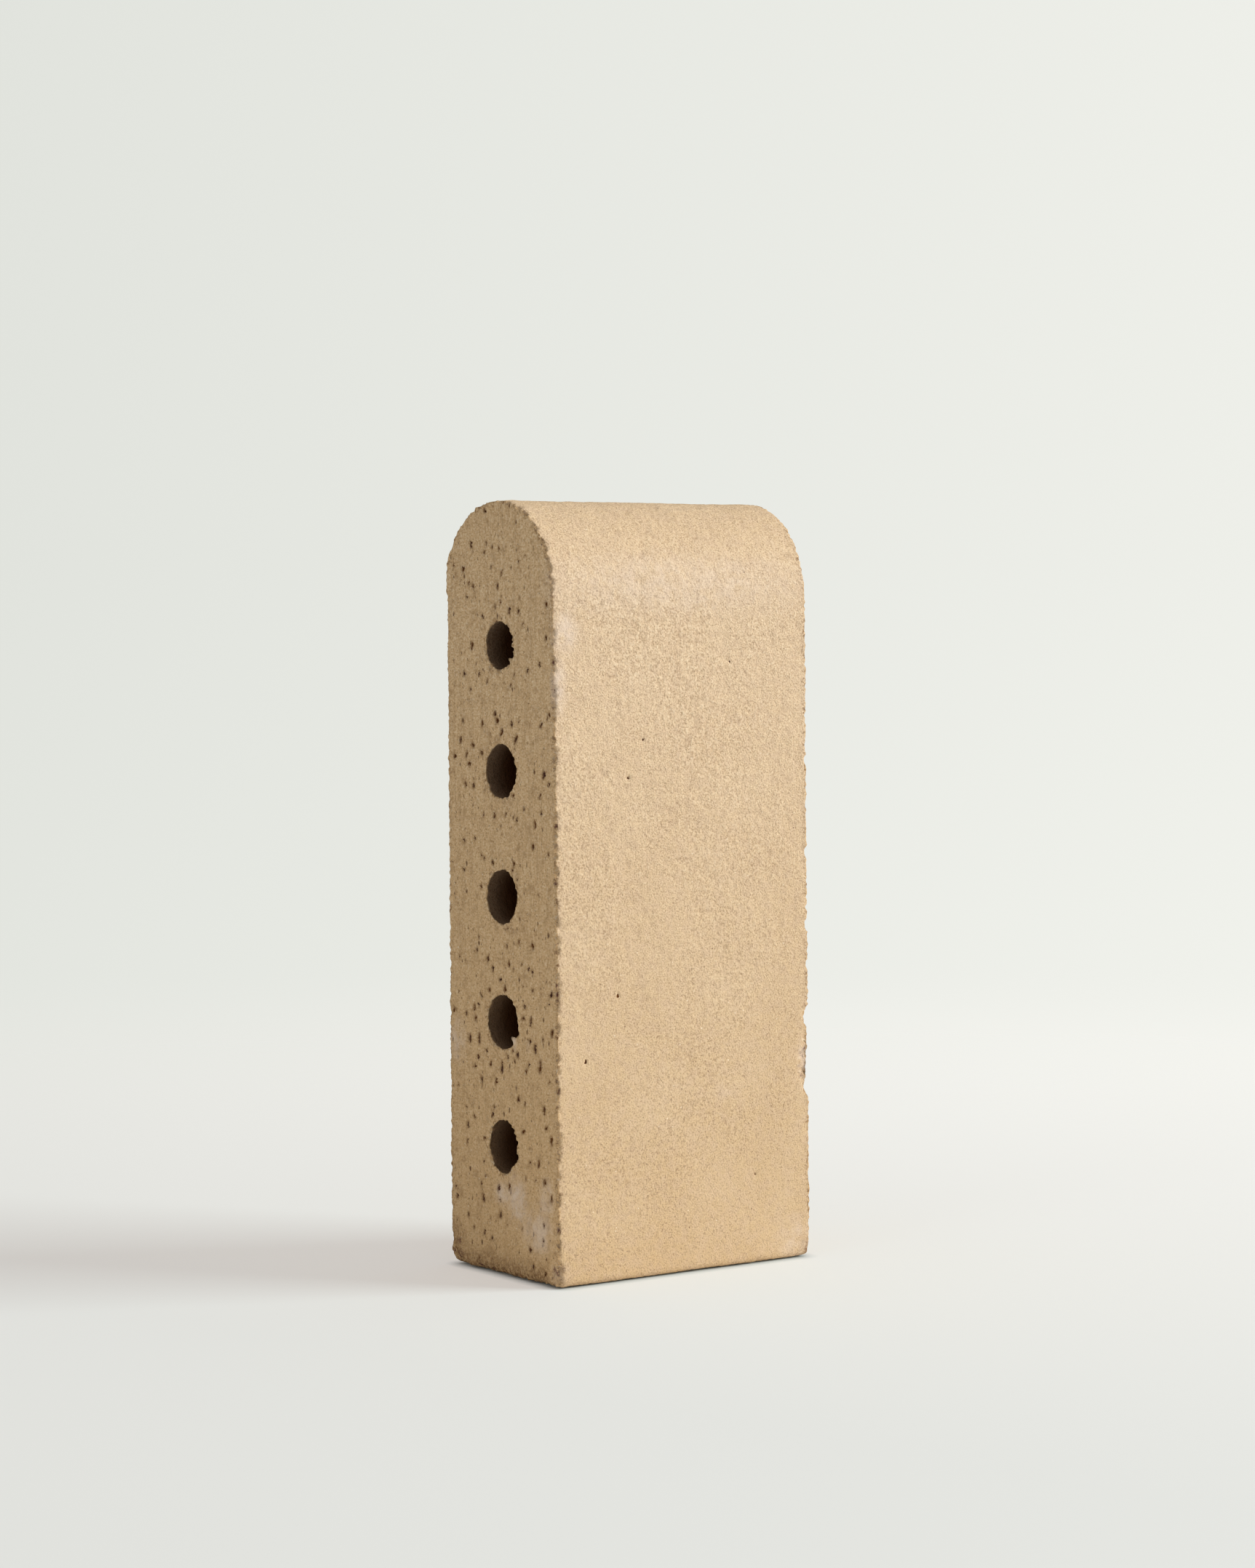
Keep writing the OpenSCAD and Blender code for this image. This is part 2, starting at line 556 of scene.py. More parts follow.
# %% [markdown]
# ## Folding and welding
#
# Each sheet is now folded into place: the skin along its walk, the core walls into tubes, the cut faces
# to the two ends. The sheets were given the same points along every shared line, so points that land
# within a micrometre of each other are one point. The result is a single closed surface, which is what
# a fired lump of clay is. Each corner also keeps its place on a flat map, for baking.

# %% Fold the sheets and weld them
MAP_GAP = 4.0
# Points that fall in the same thousandth of a millimetre are one
WELD_STEPS = 1000


def fold_skin(sheet):
    """The strip of skin, rolled round the die's outline."""
    return np.column_stack((sheet[:, 1], section_at(sheet[:, 0])))


def fold_core(sheet, height):
    """A core wall, rolled into a tube at that height."""
    turn = sheet[:, 0] / core_radius
    return np.column_stack((sheet[:, 1], core_radius * np.cos(turn), height + core_radius * np.sin(turn)))


def fold_cut(sheet, side):
    """A cut face, set at one end of the width."""
    return np.column_stack((np.full(len(sheet), side * half_width), sheet))


strip_half = girth / 2
near_left = 2 * (width + MAP_GAP) + nose_radius
far_left = near_left + thickness + MAP_GAP
folded, sinks, triangles, map_corners = [], [], [], []


def add_sheet(sheet, places, flip, flat):
    """Adds one folded sheet to the paver."""
    faces = sheet[2][:, ::-1] if flip else sheet[2]
    triangles.append(faces + sum(len(part) for part in folded))
    folded.append(places)
    sinks.append(sheet[1])
    map_corners.append(flat(sheet[0][faces]))


def flat_skin(corners):
    """The strip, cut at the crown and laid as two columns side by side."""
    second = corners[:, :, 0].mean(axis=1, keepdims=True) > strip_half
    across = corners[:, :, 1] + half_width + second * (width + MAP_GAP)
    return np.stack((across, corners[:, :, 0] - second * strip_half), axis=2)


add_sheet(skin_sheet, fold_skin(skin_sheet[0]), True, flat_skin)
add_sheet(near_sheet, fold_cut(near_sheet[0], -1), True, lambda corners: corners + (near_left, 0))
add_sheet(far_sheet, fold_cut(far_sheet[0], 1), False, lambda corners: corners + (far_left, 0))
for index, height in enumerate(core_heights):
    place = (index * (mouth_girth + MAP_GAP), strip_half + MAP_GAP + half_width)
    add_sheet(core_sheet, fold_core(core_sheet[0], height), True, lambda corners: corners + place)

folded = np.concatenate(folded)
triangles = np.concatenate(triangles)
map_corners = np.concatenate(map_corners)
weld_keys = np.round(folded * WELD_STEPS).astype(np.int64)
_, welded_from, weld = np.unique(weld_keys, axis=0, return_index=True, return_inverse=True)
weld = weld.ravel()
sharp = folded[welded_from]
sink = np.zeros(len(sharp))
np.maximum.at(sink, weld, np.concatenate(sinks))
triangles = weld[triangles]
sides = np.sort(np.concatenate((triangles[:, :2], triangles[:, 1:], triangles[:, ::2])), axis=1)
side_uses = np.unique(sides, axis=0, return_counts=True)[1]
print(f"{len(sharp)} points, {len(triangles)} triangles, {np.sum(side_uses != 2)} open edges")

# %% [markdown]
# ## Worn arrises
#
# No arris of fired clay is sharp. A Bevel modifier would round every edge alike, but here the foot's
# near cut edge is worn to a little under three millimetres, the far one to less, the upright cut edges
# hardly at all, and the wear comes and goes along each of them. So each point near an arris is moved
# onto a quarter round whose radius is read from noise at that place, and then nudged in or out, because
# clay tears in teeth. The long edges of the foot grow rounder towards their ends, most of all at the
# near back corner, which is blunt.

# %% Wear the arrises
FOOT_WEAR = 2.7
UPRIGHT_WEAR = 0.35
FAR_WEAR_SHARE = 0.65
CORNER_WEAR = 2.4
CORNER_REACH = 9.0
OTHER_CORNERS = 0.2
ARRIS_RAG = 0.42
ARRIS_RAG_REACH = 0.9
LEAST_WEAR = 0.2
# The foot's wear fades out between these heights
FOOT_WEAR_FADE = (1.5, 5.0)
# Each layer of noise: its height, the size of its lumps, where it starts in the noise, and any stretch
WEAR_SWING = ((0.35, 6.0, 3.1),)
WEAR_LAYERS = ((0.3, 2.6, 8.7), (0.2, 1.2, 1.9))
ARRIS_RAG_LAYERS = ((1, 1.1, 7.9), (0.7, 2.3, 3.7))


def lumps(points, size, shift, stretch=(1, 1, 1)):
    """Smooth noise between about -1 and 1, with lumps of that size in millimetres."""
    places = points / (np.array(stretch) * size) + shift
    return np.array([noise.noise(place) for place in places.tolist()])


def layered(points, layers):
    """Several layers of lumps, one on top of the other."""
    return sum(height * lumps(points, *layer) for height, *layer in layers)


def wear_arris(points, face_a, face_b, radius):
    """Moves the points near the corner of two faces onto a quarter round."""
    depth_a, into_a = face_a
    depth_b, into_b = face_b
    near = (depth_a < radius) & (depth_b < radius)
    share = np.where(depth_a <= depth_b, radius - depth_b, radius + depth_a) / (2 * radius)
    angle = np.clip(share, 0, 1) * math.pi / 2
    move_a = (radius * (1 - np.cos(angle)) - depth_a)[:, None] * into_a
    move_b = (radius * (1 - np.sin(angle)) - depth_b)[:, None] * into_b
    points[near] += (move_a + move_b)[near]


def round_foot_corners(points, depth):
    """Rounds the long edges of the foot, the more so the nearer they are to a cut face."""
    near_back = (points[:, 0] < 0) & (points[:, 1] > 0)
    extra = (CORNER_WEAR - DIE_ARRIS) * np.where(near_back, 1.0, OTHER_CORNERS)
    radius = DIE_ARRIS + extra * fade_out(depth, 0.0, CORNER_REACH)
    near = np.flatnonzero((np.abs(points[:, 1]) > thickness / 2 - radius) & (points[:, 2] < radius))
    radius = radius[near]
    out = np.abs(points[near, 1]) - (thickness / 2 - radius)
    down = radius - points[near, 2]
    more = np.maximum(out, down) / np.hypot(out, down)
    less = np.minimum(out, down) / np.hypot(out, down)
    straight = radius - DIE_ARRIS
    to_line = radius / more
    along = straight * (more + less)
    to_arc = along + np.sqrt(np.maximum(along**2 - 2 * straight**2 + DIE_ARRIS**2, 0))
    pull = radius / np.where(less * to_line <= straight, to_line, to_arc)
    points[near, 1] = np.sign(points[near, 1]) * (thickness / 2 - radius + out * pull)
    points[near, 2] = radius - down * pull


under_cut = cut_depth(sharp)
under_skin = skin_depth(sharp)
behind_core = core_depth(sharp)
clay = sharp.copy()
round_foot_corners(clay, under_cut[0])
foot_wear = FOOT_WEAR * np.where(sharp[:, 0] > 0, FAR_WEAR_SHARE, 1.0)
arris_radius = between((UPRIGHT_WEAR, foot_wear), fade_out(sharp[:, 2], *FOOT_WEAR_FADE))
arris_radius *= 1 + layered(sharp, WEAR_SWING)
arris_radius = np.maximum(arris_radius + layered(sharp, WEAR_LAYERS), LEAST_WEAR)
wear_arris(clay, under_cut, under_skin, arris_radius)
arris_rag = layered(sharp, ARRIS_RAG_LAYERS)
arris_rag *= ARRIS_RAG * np.exp(-np.maximum(under_cut[0], under_skin[0]) / ARRIS_RAG_REACH)
clay += arris_rag[:, None] * (under_cut[1] + under_skin[1]) / math.sqrt(2)
print(f"arris radius {arris_radius.min():.2f} to {arris_radius.max():.2f} mm")

# %% [markdown]
# The mouths of the core holes are torn rather than worn. Noise moves the ring itself in and out of its
# circle, in teeth under a millimetre, and the move fades out over the next millimetre of clay. On the
# near face the lowest and the highest mouth also came out a little narrow, and four of the mouths have a
# crumb that hangs in, or a notch, at a given place.

# %% Tear the rims of the core mouths
MOUTH_WEAR = 0.25
MOUTH_RAG = 0.34
MOUTH_RAG_REACH = 1.1
# How much narrower and how much lower a near mouth is, by its hole, counted from the foot
MOUTH_PINCH = {0: (0.75, 0.1), 4: (0.75, 0.9)}
PINCH_REACH = (3.0, 12.0)
# Each tear: its hole, its turn from the back of the ring and its reach in degrees, and the rim's move out
MOUTH_TEARS = (
    (1, 200, 6, 1.3), (1, 221, 9, -1.9), (4, 207, 5, 0.7), (4, 216, 5, -0.8), (0, 236, 9, -0.5),
    (2, 118, 6, 0.5),
)
MOUTH_RAG_LAYERS = ((1, 1.3, 6.6), (0.7, 3.1, 2.4), (0.7, 0.75, 4.8))
MOUTH_WEAR_SWING = ((0.5, 3.0, 5.3),)

hole = np.abs(sharp[:, 2:3] - core_heights).argmin(axis=1)
rim_turn = np.arctan2(sharp[:, 2] - core_heights[hole], sharp[:, 1])
on_near_side = sharp[:, 0] < 0
rim_places = sharp - behind_core[0][:, None] * behind_core[1]
rim_places[:, 0] = np.sign(sharp[:, 0]) * half_width
rag = MOUTH_RAG * layered(rim_places, MOUTH_RAG_LAYERS)
for torn, turn, reach, move in MOUTH_TEARS:
    away = (np.degrees(rim_turn) - turn + 180) % 360 - 180
    rag += np.where(on_near_side & (hole == torn), move * np.exp(-((away / reach) ** 2)), 0)
from_rim = np.abs(behind_core[0])
rag *= np.exp(-np.maximum(under_cut[0], from_rim) / MOUTH_RAG_REACH)
for pinched, (narrower, lower) in MOUTH_PINCH.items():
    inward = narrower * np.cos(rim_turn) ** 2 + lower * np.sin(rim_turn) ** 2
    inward *= np.exp(-from_rim / PINCH_REACH[0] - under_cut[0] / PINCH_REACH[1])
    rag -= np.where(on_near_side & (hole == pinched), inward, 0)
wear_arris(clay, under_cut, behind_core, MOUTH_WEAR * (1 + layered(sharp, MOUTH_WEAR_SWING)))
clay += rag[:, None] * behind_core[1]
print(f"the rims move {rag.min():.2f} to {rag.max():.2f} mm")

# %% [markdown]
# ## Relief
#
# The die skin is an orange peel of sand grains over slow swells. The cut faces are rougher: the wire
# combed them from the nose down, so their lumps are drawn out upright. The core walls have fine drag
# lines along the extrusion. Each is noise of a known lump size, moved along the way out of the clay.
# What is finer than the mesh is left to the bump in the material. The foot is crumbled along its cut
# edges, and it is a little high all round its rim, so a dark gap shows where it stands on the floor.

# %% Raise the relief
ON_FACE = 1e-6
SWELL_LAYERS = ((0.16, 14, 1.7),)
PEEL_LAYERS = ((0.12, 5.5, 2.9), (0.18, 2.8, 6.1))
CUT_LAYERS = ((0.25, 18, 4.4), (0.16, 3.2, 7.7, (1, 1, 1.6)), (0.2, 1.5, 9.2, (1, 1, 1.5)))
CORE_LAYERS = ((0.18, 2.4, 0.6, (6, 1, 1)), (0.1, 1.6, 3.8))
CRUMB_LAYERS = ((1, 1.6, 5.5), (0.8, 0.9, 7.1))
# The peel is this weak at the foot, and grows between these shares of the length
LEAST_PEEL = 0.4
PEEL_RISE = (0.2, 0.6)
# The skin's relief takes over from the cut face's within this depth
SKIN_TAKES_OVER = 1.5
FOOT_CRUMB = 0.3
# The crumbled band fades out between these heights, and between these depths under a cut face
CRUMB_HEIGHTS = (2.0, 7.0)
CRUMB_DEPTHS = (1.5, 5.0)
FOOT_LIFT = 0.28
# The rim lifts between these distances from the middle of the foot, and the lift fades out upwards
LIFT_ACROSS = (16, 26)
LIFT_ALONG = (34, 43)
LIFT_FADE = (0.0, 6.0)
on_cut = under_cut[0] < ON_FACE
on_skin = under_skin[0] < ON_FACE
on_core = behind_core[0] < ON_FACE
outward = -(
    on_cut[:, None] * under_cut[1]
    + on_skin[:, None] * under_skin[1]
    + on_core[:, None] * behind_core[1]
)
outward /= np.linalg.norm(outward, axis=1, keepdims=True)

peel_span = [length * share for share in PEEL_RISE]
peel_share = between((LEAST_PEEL, 1), smooth_step(sharp[:, 2], *peel_span))
skin_relief = layered(sharp, SWELL_LAYERS) + peel_share * layered(sharp, PEEL_LAYERS)
skin_share = smooth_step(under_cut[0], 0.0, SKIN_TAKES_OVER)
open_relief = skin_share * skin_relief + (1 - skin_share) * layered(sharp, CUT_LAYERS)
relief = np.where(on_core & ~on_cut, layered(sharp, CORE_LAYERS), open_relief)
crumb_band = fade_out(sharp[:, 2], *CRUMB_HEIGHTS) * fade_out(under_cut[0], *CRUMB_DEPTHS)
relief += FOOT_CRUMB * crumb_band * layered(sharp, CRUMB_LAYERS)
clay += (relief - sink)[:, None] * outward
lift_across = smooth_step(np.abs(sharp[:, 1]), *LIFT_ACROSS)
lift_along = smooth_step(np.abs(sharp[:, 0]), *LIFT_ALONG)
clay[:, 2] += FOOT_LIFT * np.maximum(lift_across, lift_along) * fade_out(sharp[:, 2], *LIFT_FADE)
print(f"relief {relief.min():.2f} to {relief.max():.2f} mm, deepest pit {sink.max():.2f} mm")

# %% [markdown]
# ## Chips and crumbs
#
# A chip leaves a small hollow shell. It could be a Boolean with a lump, but on a dense mesh it is
# simpler to press the points that lie inside a ball down to its far side, all of them the same way,
# which can't fold a triangle over. Hundreds of small chips follow the cut arrises, which gives the paver
# its serrated outline. They are shallower at the far end, on the back edge and at the foot. The few
# large ones are listed one by one.

# %% Chip the cut arrises
CHIP_GAP = 0.85
CHIP_RADIUS = (0.6, 2.0)
CHIP_BITE = (0.1, 1.05)
CHIP_LEAN = (0.35, 0.85)
# A power over one makes most of the chips small
CHIP_SMALLNESS = 1.6
CHIP_ROUGHNESS = 0.1
# The size of the lumps in a chip, and where they start in the noise
CHIP_LUMPS = (0.9, 2.2)
# A point that goes in this far is wholly broken, or wholly in a pit
BREAK_DEPTH = 0.35
FAR_CHIP_SHARE = 0.28
BACK_CHIP_SHARE = 0.4
FOOT_CHIP_SHARE = 0.3
broken = np.zeros(len(clay))


def carve(edge, way, radius, bite):
    """Presses a rough ball into an edge, against the way that leads out of it, as deep as the bite."""
    way = way / np.linalg.norm(way)
    away = clay - (edge + way * (radius - bite))
    near = np.flatnonzero((away**2).sum(axis=1) < (radius * (1 + CHIP_ROUGHNESS)) ** 2)
    along = away[near] @ way
    aside = (away[near] ** 2).sum(axis=1) - along**2
    reach = radius * (1 + CHIP_ROUGHNESS * lumps(clay[near], *CHIP_LUMPS))
    press = along + np.sqrt(np.maximum(reach**2 - aside, 0))
    bitten = (press > 0) & (aside < reach**2)
    clay[near[bitten]] -= press[bitten, None] * way
    broken[near[bitten]] = np.maximum(broken[near[bitten]], np.clip(press[bitten] / BREAK_DEPTH, 0, 1))


def chip_arris(side, walked, radius, bite, lean):
    """Chips the arris of one cut face, that far round the die. Lean is the share of the skin in it."""
    edge = np.array([[side * half_width, *section_at(np.array([walked]))[0]]])
    out_of_skin = -skin_depth(edge)[1][0]
    out_of_cut = np.array((side, 0.0, 0.0))
    carve(edge[0], out_of_skin * lean + out_of_cut * (1 - lean), radius, bite)


chip_shaker = np.random.default_rng(37)
chip_count = round(girth / CHIP_GAP)
for side in (-1, 1):
    for walked in np.sort(chip_shaker.uniform(0, girth, chip_count)):
        size = chip_shaker.uniform(0, 1) ** CHIP_SMALLNESS
        bite = between(CHIP_BITE, size)
        if side > 0:
            bite *= FAR_CHIP_SHARE
        elif walked > girth / 2:
            bite *= BACK_CHIP_SHARE
        if min(walked, girth - walked) < front_start:
            bite *= FOOT_CHIP_SHARE
        chip_arris(side, walked, between(CHIP_RADIUS, size), bite, chip_shaker.uniform(*CHIP_LEAN))
print(f"{2 * chip_count} small chips, {np.sum(broken > 0)} points broken")

# %% [markdown]
# The large chips are the ones that a person would point at: the notch high on the back edge, the crumbs
# out of the front edge, the bites in the far edge, and the worn corners of the foot. Heights are above
# the foot, and each is turned into a walk round the die on the front or the back face.

# %% Chip the places that catch the eye
def front_walk(height):
    """The walk to a height on the front face."""
    return front_start + height


def back_walk(height):
    """The walk to a height on the back face."""
    return girth - front_start - height


def back_nose_walk(angle):
    """The walk to a place on the back of the nose, at that angle in degrees from its crown."""
    return girth / 2 + nose_radius * math.radians(angle)


def back_foot_walk(across):
    """The walk to a place on the back half of the foot, that far from its middle."""
    return girth - across


# Each chip: cut face, walk round the die, radius and bite in millimetres, share of the skin in it
LARGE_CHIPS = (
    (-1, back_nose_walk(58), 2.6, 1.1, 0.75), (-1, back_nose_walk(41), 3.0, 0.6, 0.7),
    (-1, front_walk(181.5), 2.0, 0.8, 0.4), (-1, front_walk(134), 2.2, 1.0, 0.5),
    (-1, front_walk(117.5), 1.8, 0.8, 0.4), (-1, front_walk(86), 3.0, 1.0, 0.3),
    (-1, front_walk(58), 2.6, 0.8, 0.35), (-1, front_walk(17), 2.4, 0.8, 0.4),
    (-1, front_walk(5), 5.0, 1.4, 0.6), (-1, front_walk(2), 4.0, 1.6, 0.45),
    (-1, back_walk(8), 3.0, 0.8, 0.5), (-1, back_foot_walk(12.7), 1.6, 1.4, 0.5),
    (-1, back_foot_walk(6.8), 1.4, 1.0, 0.5), (-1, back_foot_walk(19), 2.4, 0.8, 0.5),
    (-1, foot_run * 0.7, 2.6, 0.9, 0.5), (1, front_walk(151), 2.0, 0.8, 0.4),
    (1, front_walk(123), 2.4, 0.9, 0.4), (1, front_walk(101), 2.6, 1.1, 0.4),
    (1, front_walk(89), 2.2, 0.8, 0.4), (1, front_walk(73), 5.0, 1.7, 0.4),
    (1, front_walk(66), 4.5, 1.0, 0.93), (1, front_walk(61), 6.5, 1.3, 0.95),
    (1, front_walk(57), 7.0, 1.6, 0.95), (1, front_walk(52), 3.6, 1.8, 0.4),
)
# The notch in the front edge of the foot, and the way out of it
NOTCH_EDGE = np.array((27.0, -thickness / 2 + 0.4, 0.4))
NOTCH_WAY = np.array((0.0, -1.0, -1.0))
NOTCH_RADIUS = 1.6
NOTCH_BITE = 0.7
for chip in LARGE_CHIPS:
    chip_arris(*chip)
carve(NOTCH_EDGE, NOTCH_WAY, NOTCH_RADIUS, NOTCH_BITE)
print(f"{len(LARGE_CHIPS)} large chips and a notch in the foot")

# %% [markdown]
# The wire pulls crumbs off the rims of the core holes as well, so small chips follow each ring.

# %% Chip the core mouths
MOUTH_CHIP_GAP = 1.6
MOUTH_CHIP_RADIUS = (0.6, 1.4)
MOUTH_CHIP_BITE = (0.12, 0.57)
MOUTH_CHIP_SMALLNESS = 1.5


def chip_mouth(side, height, turn, radius, bite):
    """Chips the rim of one core hole, at that turn from the back of the ring."""
    rim_way = np.array((0.0, math.cos(turn), math.sin(turn)))
    edge = np.array((side * half_width, 0.0, height)) + core_radius * rim_way
    carve(edge, np.array((side, 0.0, 0.0)) - rim_way, radius, bite)


mouth_chip_count = round(mouth_girth / MOUTH_CHIP_GAP)
for side in (-1, 1):
    for height in core_heights:
        for turn in chip_shaker.uniform(0, 2 * math.pi, mouth_chip_count):
            size = chip_shaker.uniform(0, 1) ** MOUTH_CHIP_SMALLNESS
            chip_mouth(side, height, turn, between(MOUTH_CHIP_RADIUS, size), between(MOUTH_CHIP_BITE, size))
print(f"{2 * len(core_heights) * mouth_chip_count} chips round the mouths")

# %% [markdown]
# ## Kiln warp
#
# A paver leaves the kiln a little out of true. The near end is slightly thicker at the foot than under
# the nose, and its front edge bellies out by less than a millimetre. The die was out of true as well:
# the back shoulder of the nose is squarer than a half circle, by two millimetres at the near end. A
# Lattice could bend the mesh, but three short formulas say exactly how far each point goes.

# %% Warp the paver
FOOT_SPREAD = 1.0
NOSE_PINCH = -0.9
FAR_SPREAD_SHARE = 0.4
FRONT_BELLY = 0.8
SHOULDER_BULGE = 2.1
SHOULDER_SKEW = 1.9
SHOULDER_CORE = 12
SHOULDER_FAR_SHARE = 0.4
near_share = np.clip(0.5 - clay[:, 0] / width, 0, 1)
above_spring = np.maximum(clay[:, 2] - spring_height, 0)
from_axis = np.hypot(clay[:, 1], above_spring)
crown_angle = np.arctan2(np.maximum(clay[:, 1], 0), above_spring + TINY) / (math.pi / 2)
bulge = SHOULDER_BULGE * np.sin(math.pi * crown_angle**SHOULDER_SKEW)
bulge *= smooth_step(from_axis, SHOULDER_CORE, nose_radius)
bulge *= (above_spring > 0) * between((SHOULDER_FAR_SHARE, 1), near_share)
clay[:, 1] += bulge * clay[:, 1] / (from_axis + TINY)
clay[:, 2] += bulge * above_spring / (from_axis + TINY)
height_share = clay[:, 2] / length
back_share = np.clip(clay[:, 1] / thickness + 0.5, 0, 1)
spread = between((FOOT_SPREAD, NOSE_PINCH), height_share)
belly = FRONT_BELLY * np.sin(math.pi * np.clip(height_share, 0, 1)) * near_share * (1 - back_share)
clay[:, 1] += spread * back_share * between((FAR_SPREAD_SHARE, 1), near_share) - belly
clay[:, 2] -= clay[:, 2].min()
print(f"thickness {np.ptp(clay[:, 1]):.1f} mm, length {np.ptp(clay[:, 2]):.1f} mm after the warp")

# %% [markdown]
# ## Marks for the finish
#
# The material has to know where the clay is cut, pitted, broken, whitened or soiled, and where the core
# walls carry painted shade. Each of these is a number between nought and one on every point, stored as
# a mesh attribute that the shader can read. The pale bloom is salt that came out of the clay, in a few
# listed patches; one long pale band at the spring of the nose among them is a painted highlight. The
# other marks come and go with the depth under a face, each between two depths in millimetres.

# %% Mark where the clay is cut, pitted, broken, whitened and soiled
# Each patch: its middle and its reach along X, Y and Z in millimetres, and its strength
BLOOM_AND_HIGHLIGHT_PATCHES = (
    ((-half_width, 0, 24.5), (3, 7, 5), 0.9), ((-half_width, -7, 23), (3, 8, 10), 1.0),
    ((-half_width, -22.5, 25), (3, 5, 9), 0.8), ((-half_width, -18, 15.5), (3, 11, 9), 0.8),
    ((-44.5, -27, 3.5), (5, 5, 6), 0.3), ((44.5, -nose_radius, 60), (3.5, 3, 10), 0.8),
    ((-half_width, 24, 68), (3, 6, 9), 0.8), ((-42, -nose_radius, 190), (7, 3, 9), 0.9),
    ((-44, -nose_radius, 174), (4, 3, 12), 0.9), ((41, -nose_radius, 5), (9, 3, 10), 0.6),
    ((-half_width, -6.5, 69.3), (2, 1.7, 2.4), 1.0), ((-half_width, -13.5, 69), (2, 1.2, 2.6), 0.8),
    # The second patch on the next line, a long pale band across the whole width at the spring of the nose, is
    # a painted highlight; the others are salt bloom
    ((14, -nose_radius, 53), (6, 3, 3), 0.35), ((0, -27, 204), (75, 8, 13), 0.5),
)
# The dark grains stuck in the front cut arris, by their height above the foot
ARRIS_GRAINS = (181.5, 173.5, 134, 117.5, 88, 85.5, 57.5, 17)
ARRIS_GRAIN_REACH = 1.3
# The dark grains elsewhere, by place and reach: at the near end of the foot, and in the far edge's chip
LOOSE_GRAINS = (
    ((-half_width, 23.7, 7.3), 1.5), ((-half_width, 27.3, 4.0), 1.8), ((-half_width, 23.5, 3.3), 1.8),
    ((-half_width, 25.5, 1.2), 1.3), ((-half_width, 12.7, 0.8), 1.5), ((-half_width, 6.8, 0.4), 1.3),
    ((-half_width, -26.4, 5.6), 1.3), ((-half_width, -27.8, 4.4), 1.2), ((-half_width, -25.2, 3.4), 1.1),
    ((-half_width, -22.5, 2.0), 1.0), ((-44.5, -nose_radius, 5.6), 1.1), ((-42.5, -nose_radius, 1.5), 1.0),
    ((45, -nose_radius, 63.5), 0.7), ((44.6, -nose_radius, 61.8), 0.6), ((43.4, -nose_radius, 58.4), 0.7),
    ((44.6, -nose_radius, 56.4), 0.8), ((43.6, -nose_radius, 55.2), 0.8), ((44.5, -nose_radius, 76.4), 1.0),
)
STAIN_REACH = 0.8
# The shares of its reach between which a patch fades, and a pit's stain
PATCH_FADE = (0.15, 1.0)
STAIN_FADE = (0.4, 1.0)
# A pit's stain is this strong and grows with its length, to its full strength at a length of 2.4 mm
LEAST_STAIN = 0.2
STAIN_LENGTH = 3
# The heights, and the depths under a cut face, between which the soil of the foot fades out
SOIL_HEIGHTS = (1.0, 9.0)
SOIL_DEPTHS = (0.5, 5.0)
# The near front corner of the foot stayed clean, and the near back one is soiled higher up
CLEAN_CORNER = ((-half_width, -nose_radius, 3), (8, 9, 10), 0.85)
SOILED_CORNER = ((-half_width, 27, 5), (6, 10, 12), 0.9)
# Each step of the painted shade down a core wall: its share, and the depths where it begins and ends
CORE_SHADE_STEPS = ((0.8, 0.0, 0.5), (0.2, 0.4, 9.0))
# The depths between which the cut clay, the rim of a mouth and the wear of an arris fade out
CUT_FADE = (0.0, 0.9)
RIM_FADE = (0.3, 2.8)
ARRIS_FADE = (0.2, 2.2)


def patch(middle, reach, strength=1.0):
    """The strength in the middle of a patch, falling to nought at its reach."""
    away = np.linalg.norm((sharp - np.array(middle)) / np.array(reach), axis=1)
    return strength * fade_out(away, *PATCH_FADE)


def pit_stain(face, pits):
    """Brown in and round the pits of one cut face, deeper round the longer ones."""
    stain = np.zeros(len(face))
    for pit in pits:
        along, beside = pit_frame(sharp[face, 1:], pit)
        away = np.hypot(along / (pit[2] / 2 + STAIN_REACH), beside / (pit[3] / 2 + STAIN_REACH))
        strength = min(1.0, LEAST_STAIN + pit[2] / STAIN_LENGTH)
        stain = np.maximum(stain, strength * fade_out(away, *STAIN_FADE))
    return stain


near_face = np.flatnonzero(on_cut & on_near_side)
far_face = np.flatnonzero(on_cut & ~on_near_side)
stains = np.zeros(len(sharp))
stains[near_face] = pit_stain(near_face, near_pits)
stains[far_face] = pit_stain(far_face, far_pits)
grains = [((-half_width, -nose_radius, up), ARRIS_GRAIN_REACH) for up in ARRIS_GRAINS]
grains += LOOSE_GRAINS
foot_soil = fade_out(sharp[:, 2], *SOIL_HEIGHTS) * fade_out(under_cut[0], *SOIL_DEPTHS)
foot_soil *= 1 - patch(*CLEAN_CORNER)
core_painted_shade = sum(share * smooth_step(under_cut[0], begin, end) for share, begin, end in CORE_SHADE_STEPS)
marks = {
    "cut": fade_out(under_cut[0], *CUT_FADE),
    "rim": fade_out(from_rim, *RIM_FADE) * on_cut,
    # painted shade on the core walls, darker further into the holes
    "core": core_painted_shade * on_core,
    "arris": fade_out(np.maximum(under_cut[0], under_skin[0]), *ARRIS_FADE),
    "pit": np.clip(sink / BREAK_DEPTH, 0, 1),
    "broken": broken,
    # salt bloom, and a painted highlight at the spring of the nose
    "bloom_and_highlight": np.max([patch(*spot) for spot in BLOOM_AND_HIGHLIGHT_PATCHES], axis=0),
    "grain": np.max([patch(place, (reach, reach, reach)) for place, reach in grains], axis=0),
    "soil": np.maximum(foot_soil, patch(*SOILED_CORNER)),
    "stain": stains,
}
for name, values in marks.items():
    print(f"{name} marks {np.mean(values > 0.5):.1%} of the points")

# %% [markdown]
# ## One piece of clay
#
# The arrays become a mesh in metres. It is shaded smooth, because its roughness is already in its
# points. It rides on the paver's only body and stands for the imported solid, which stays for collision.

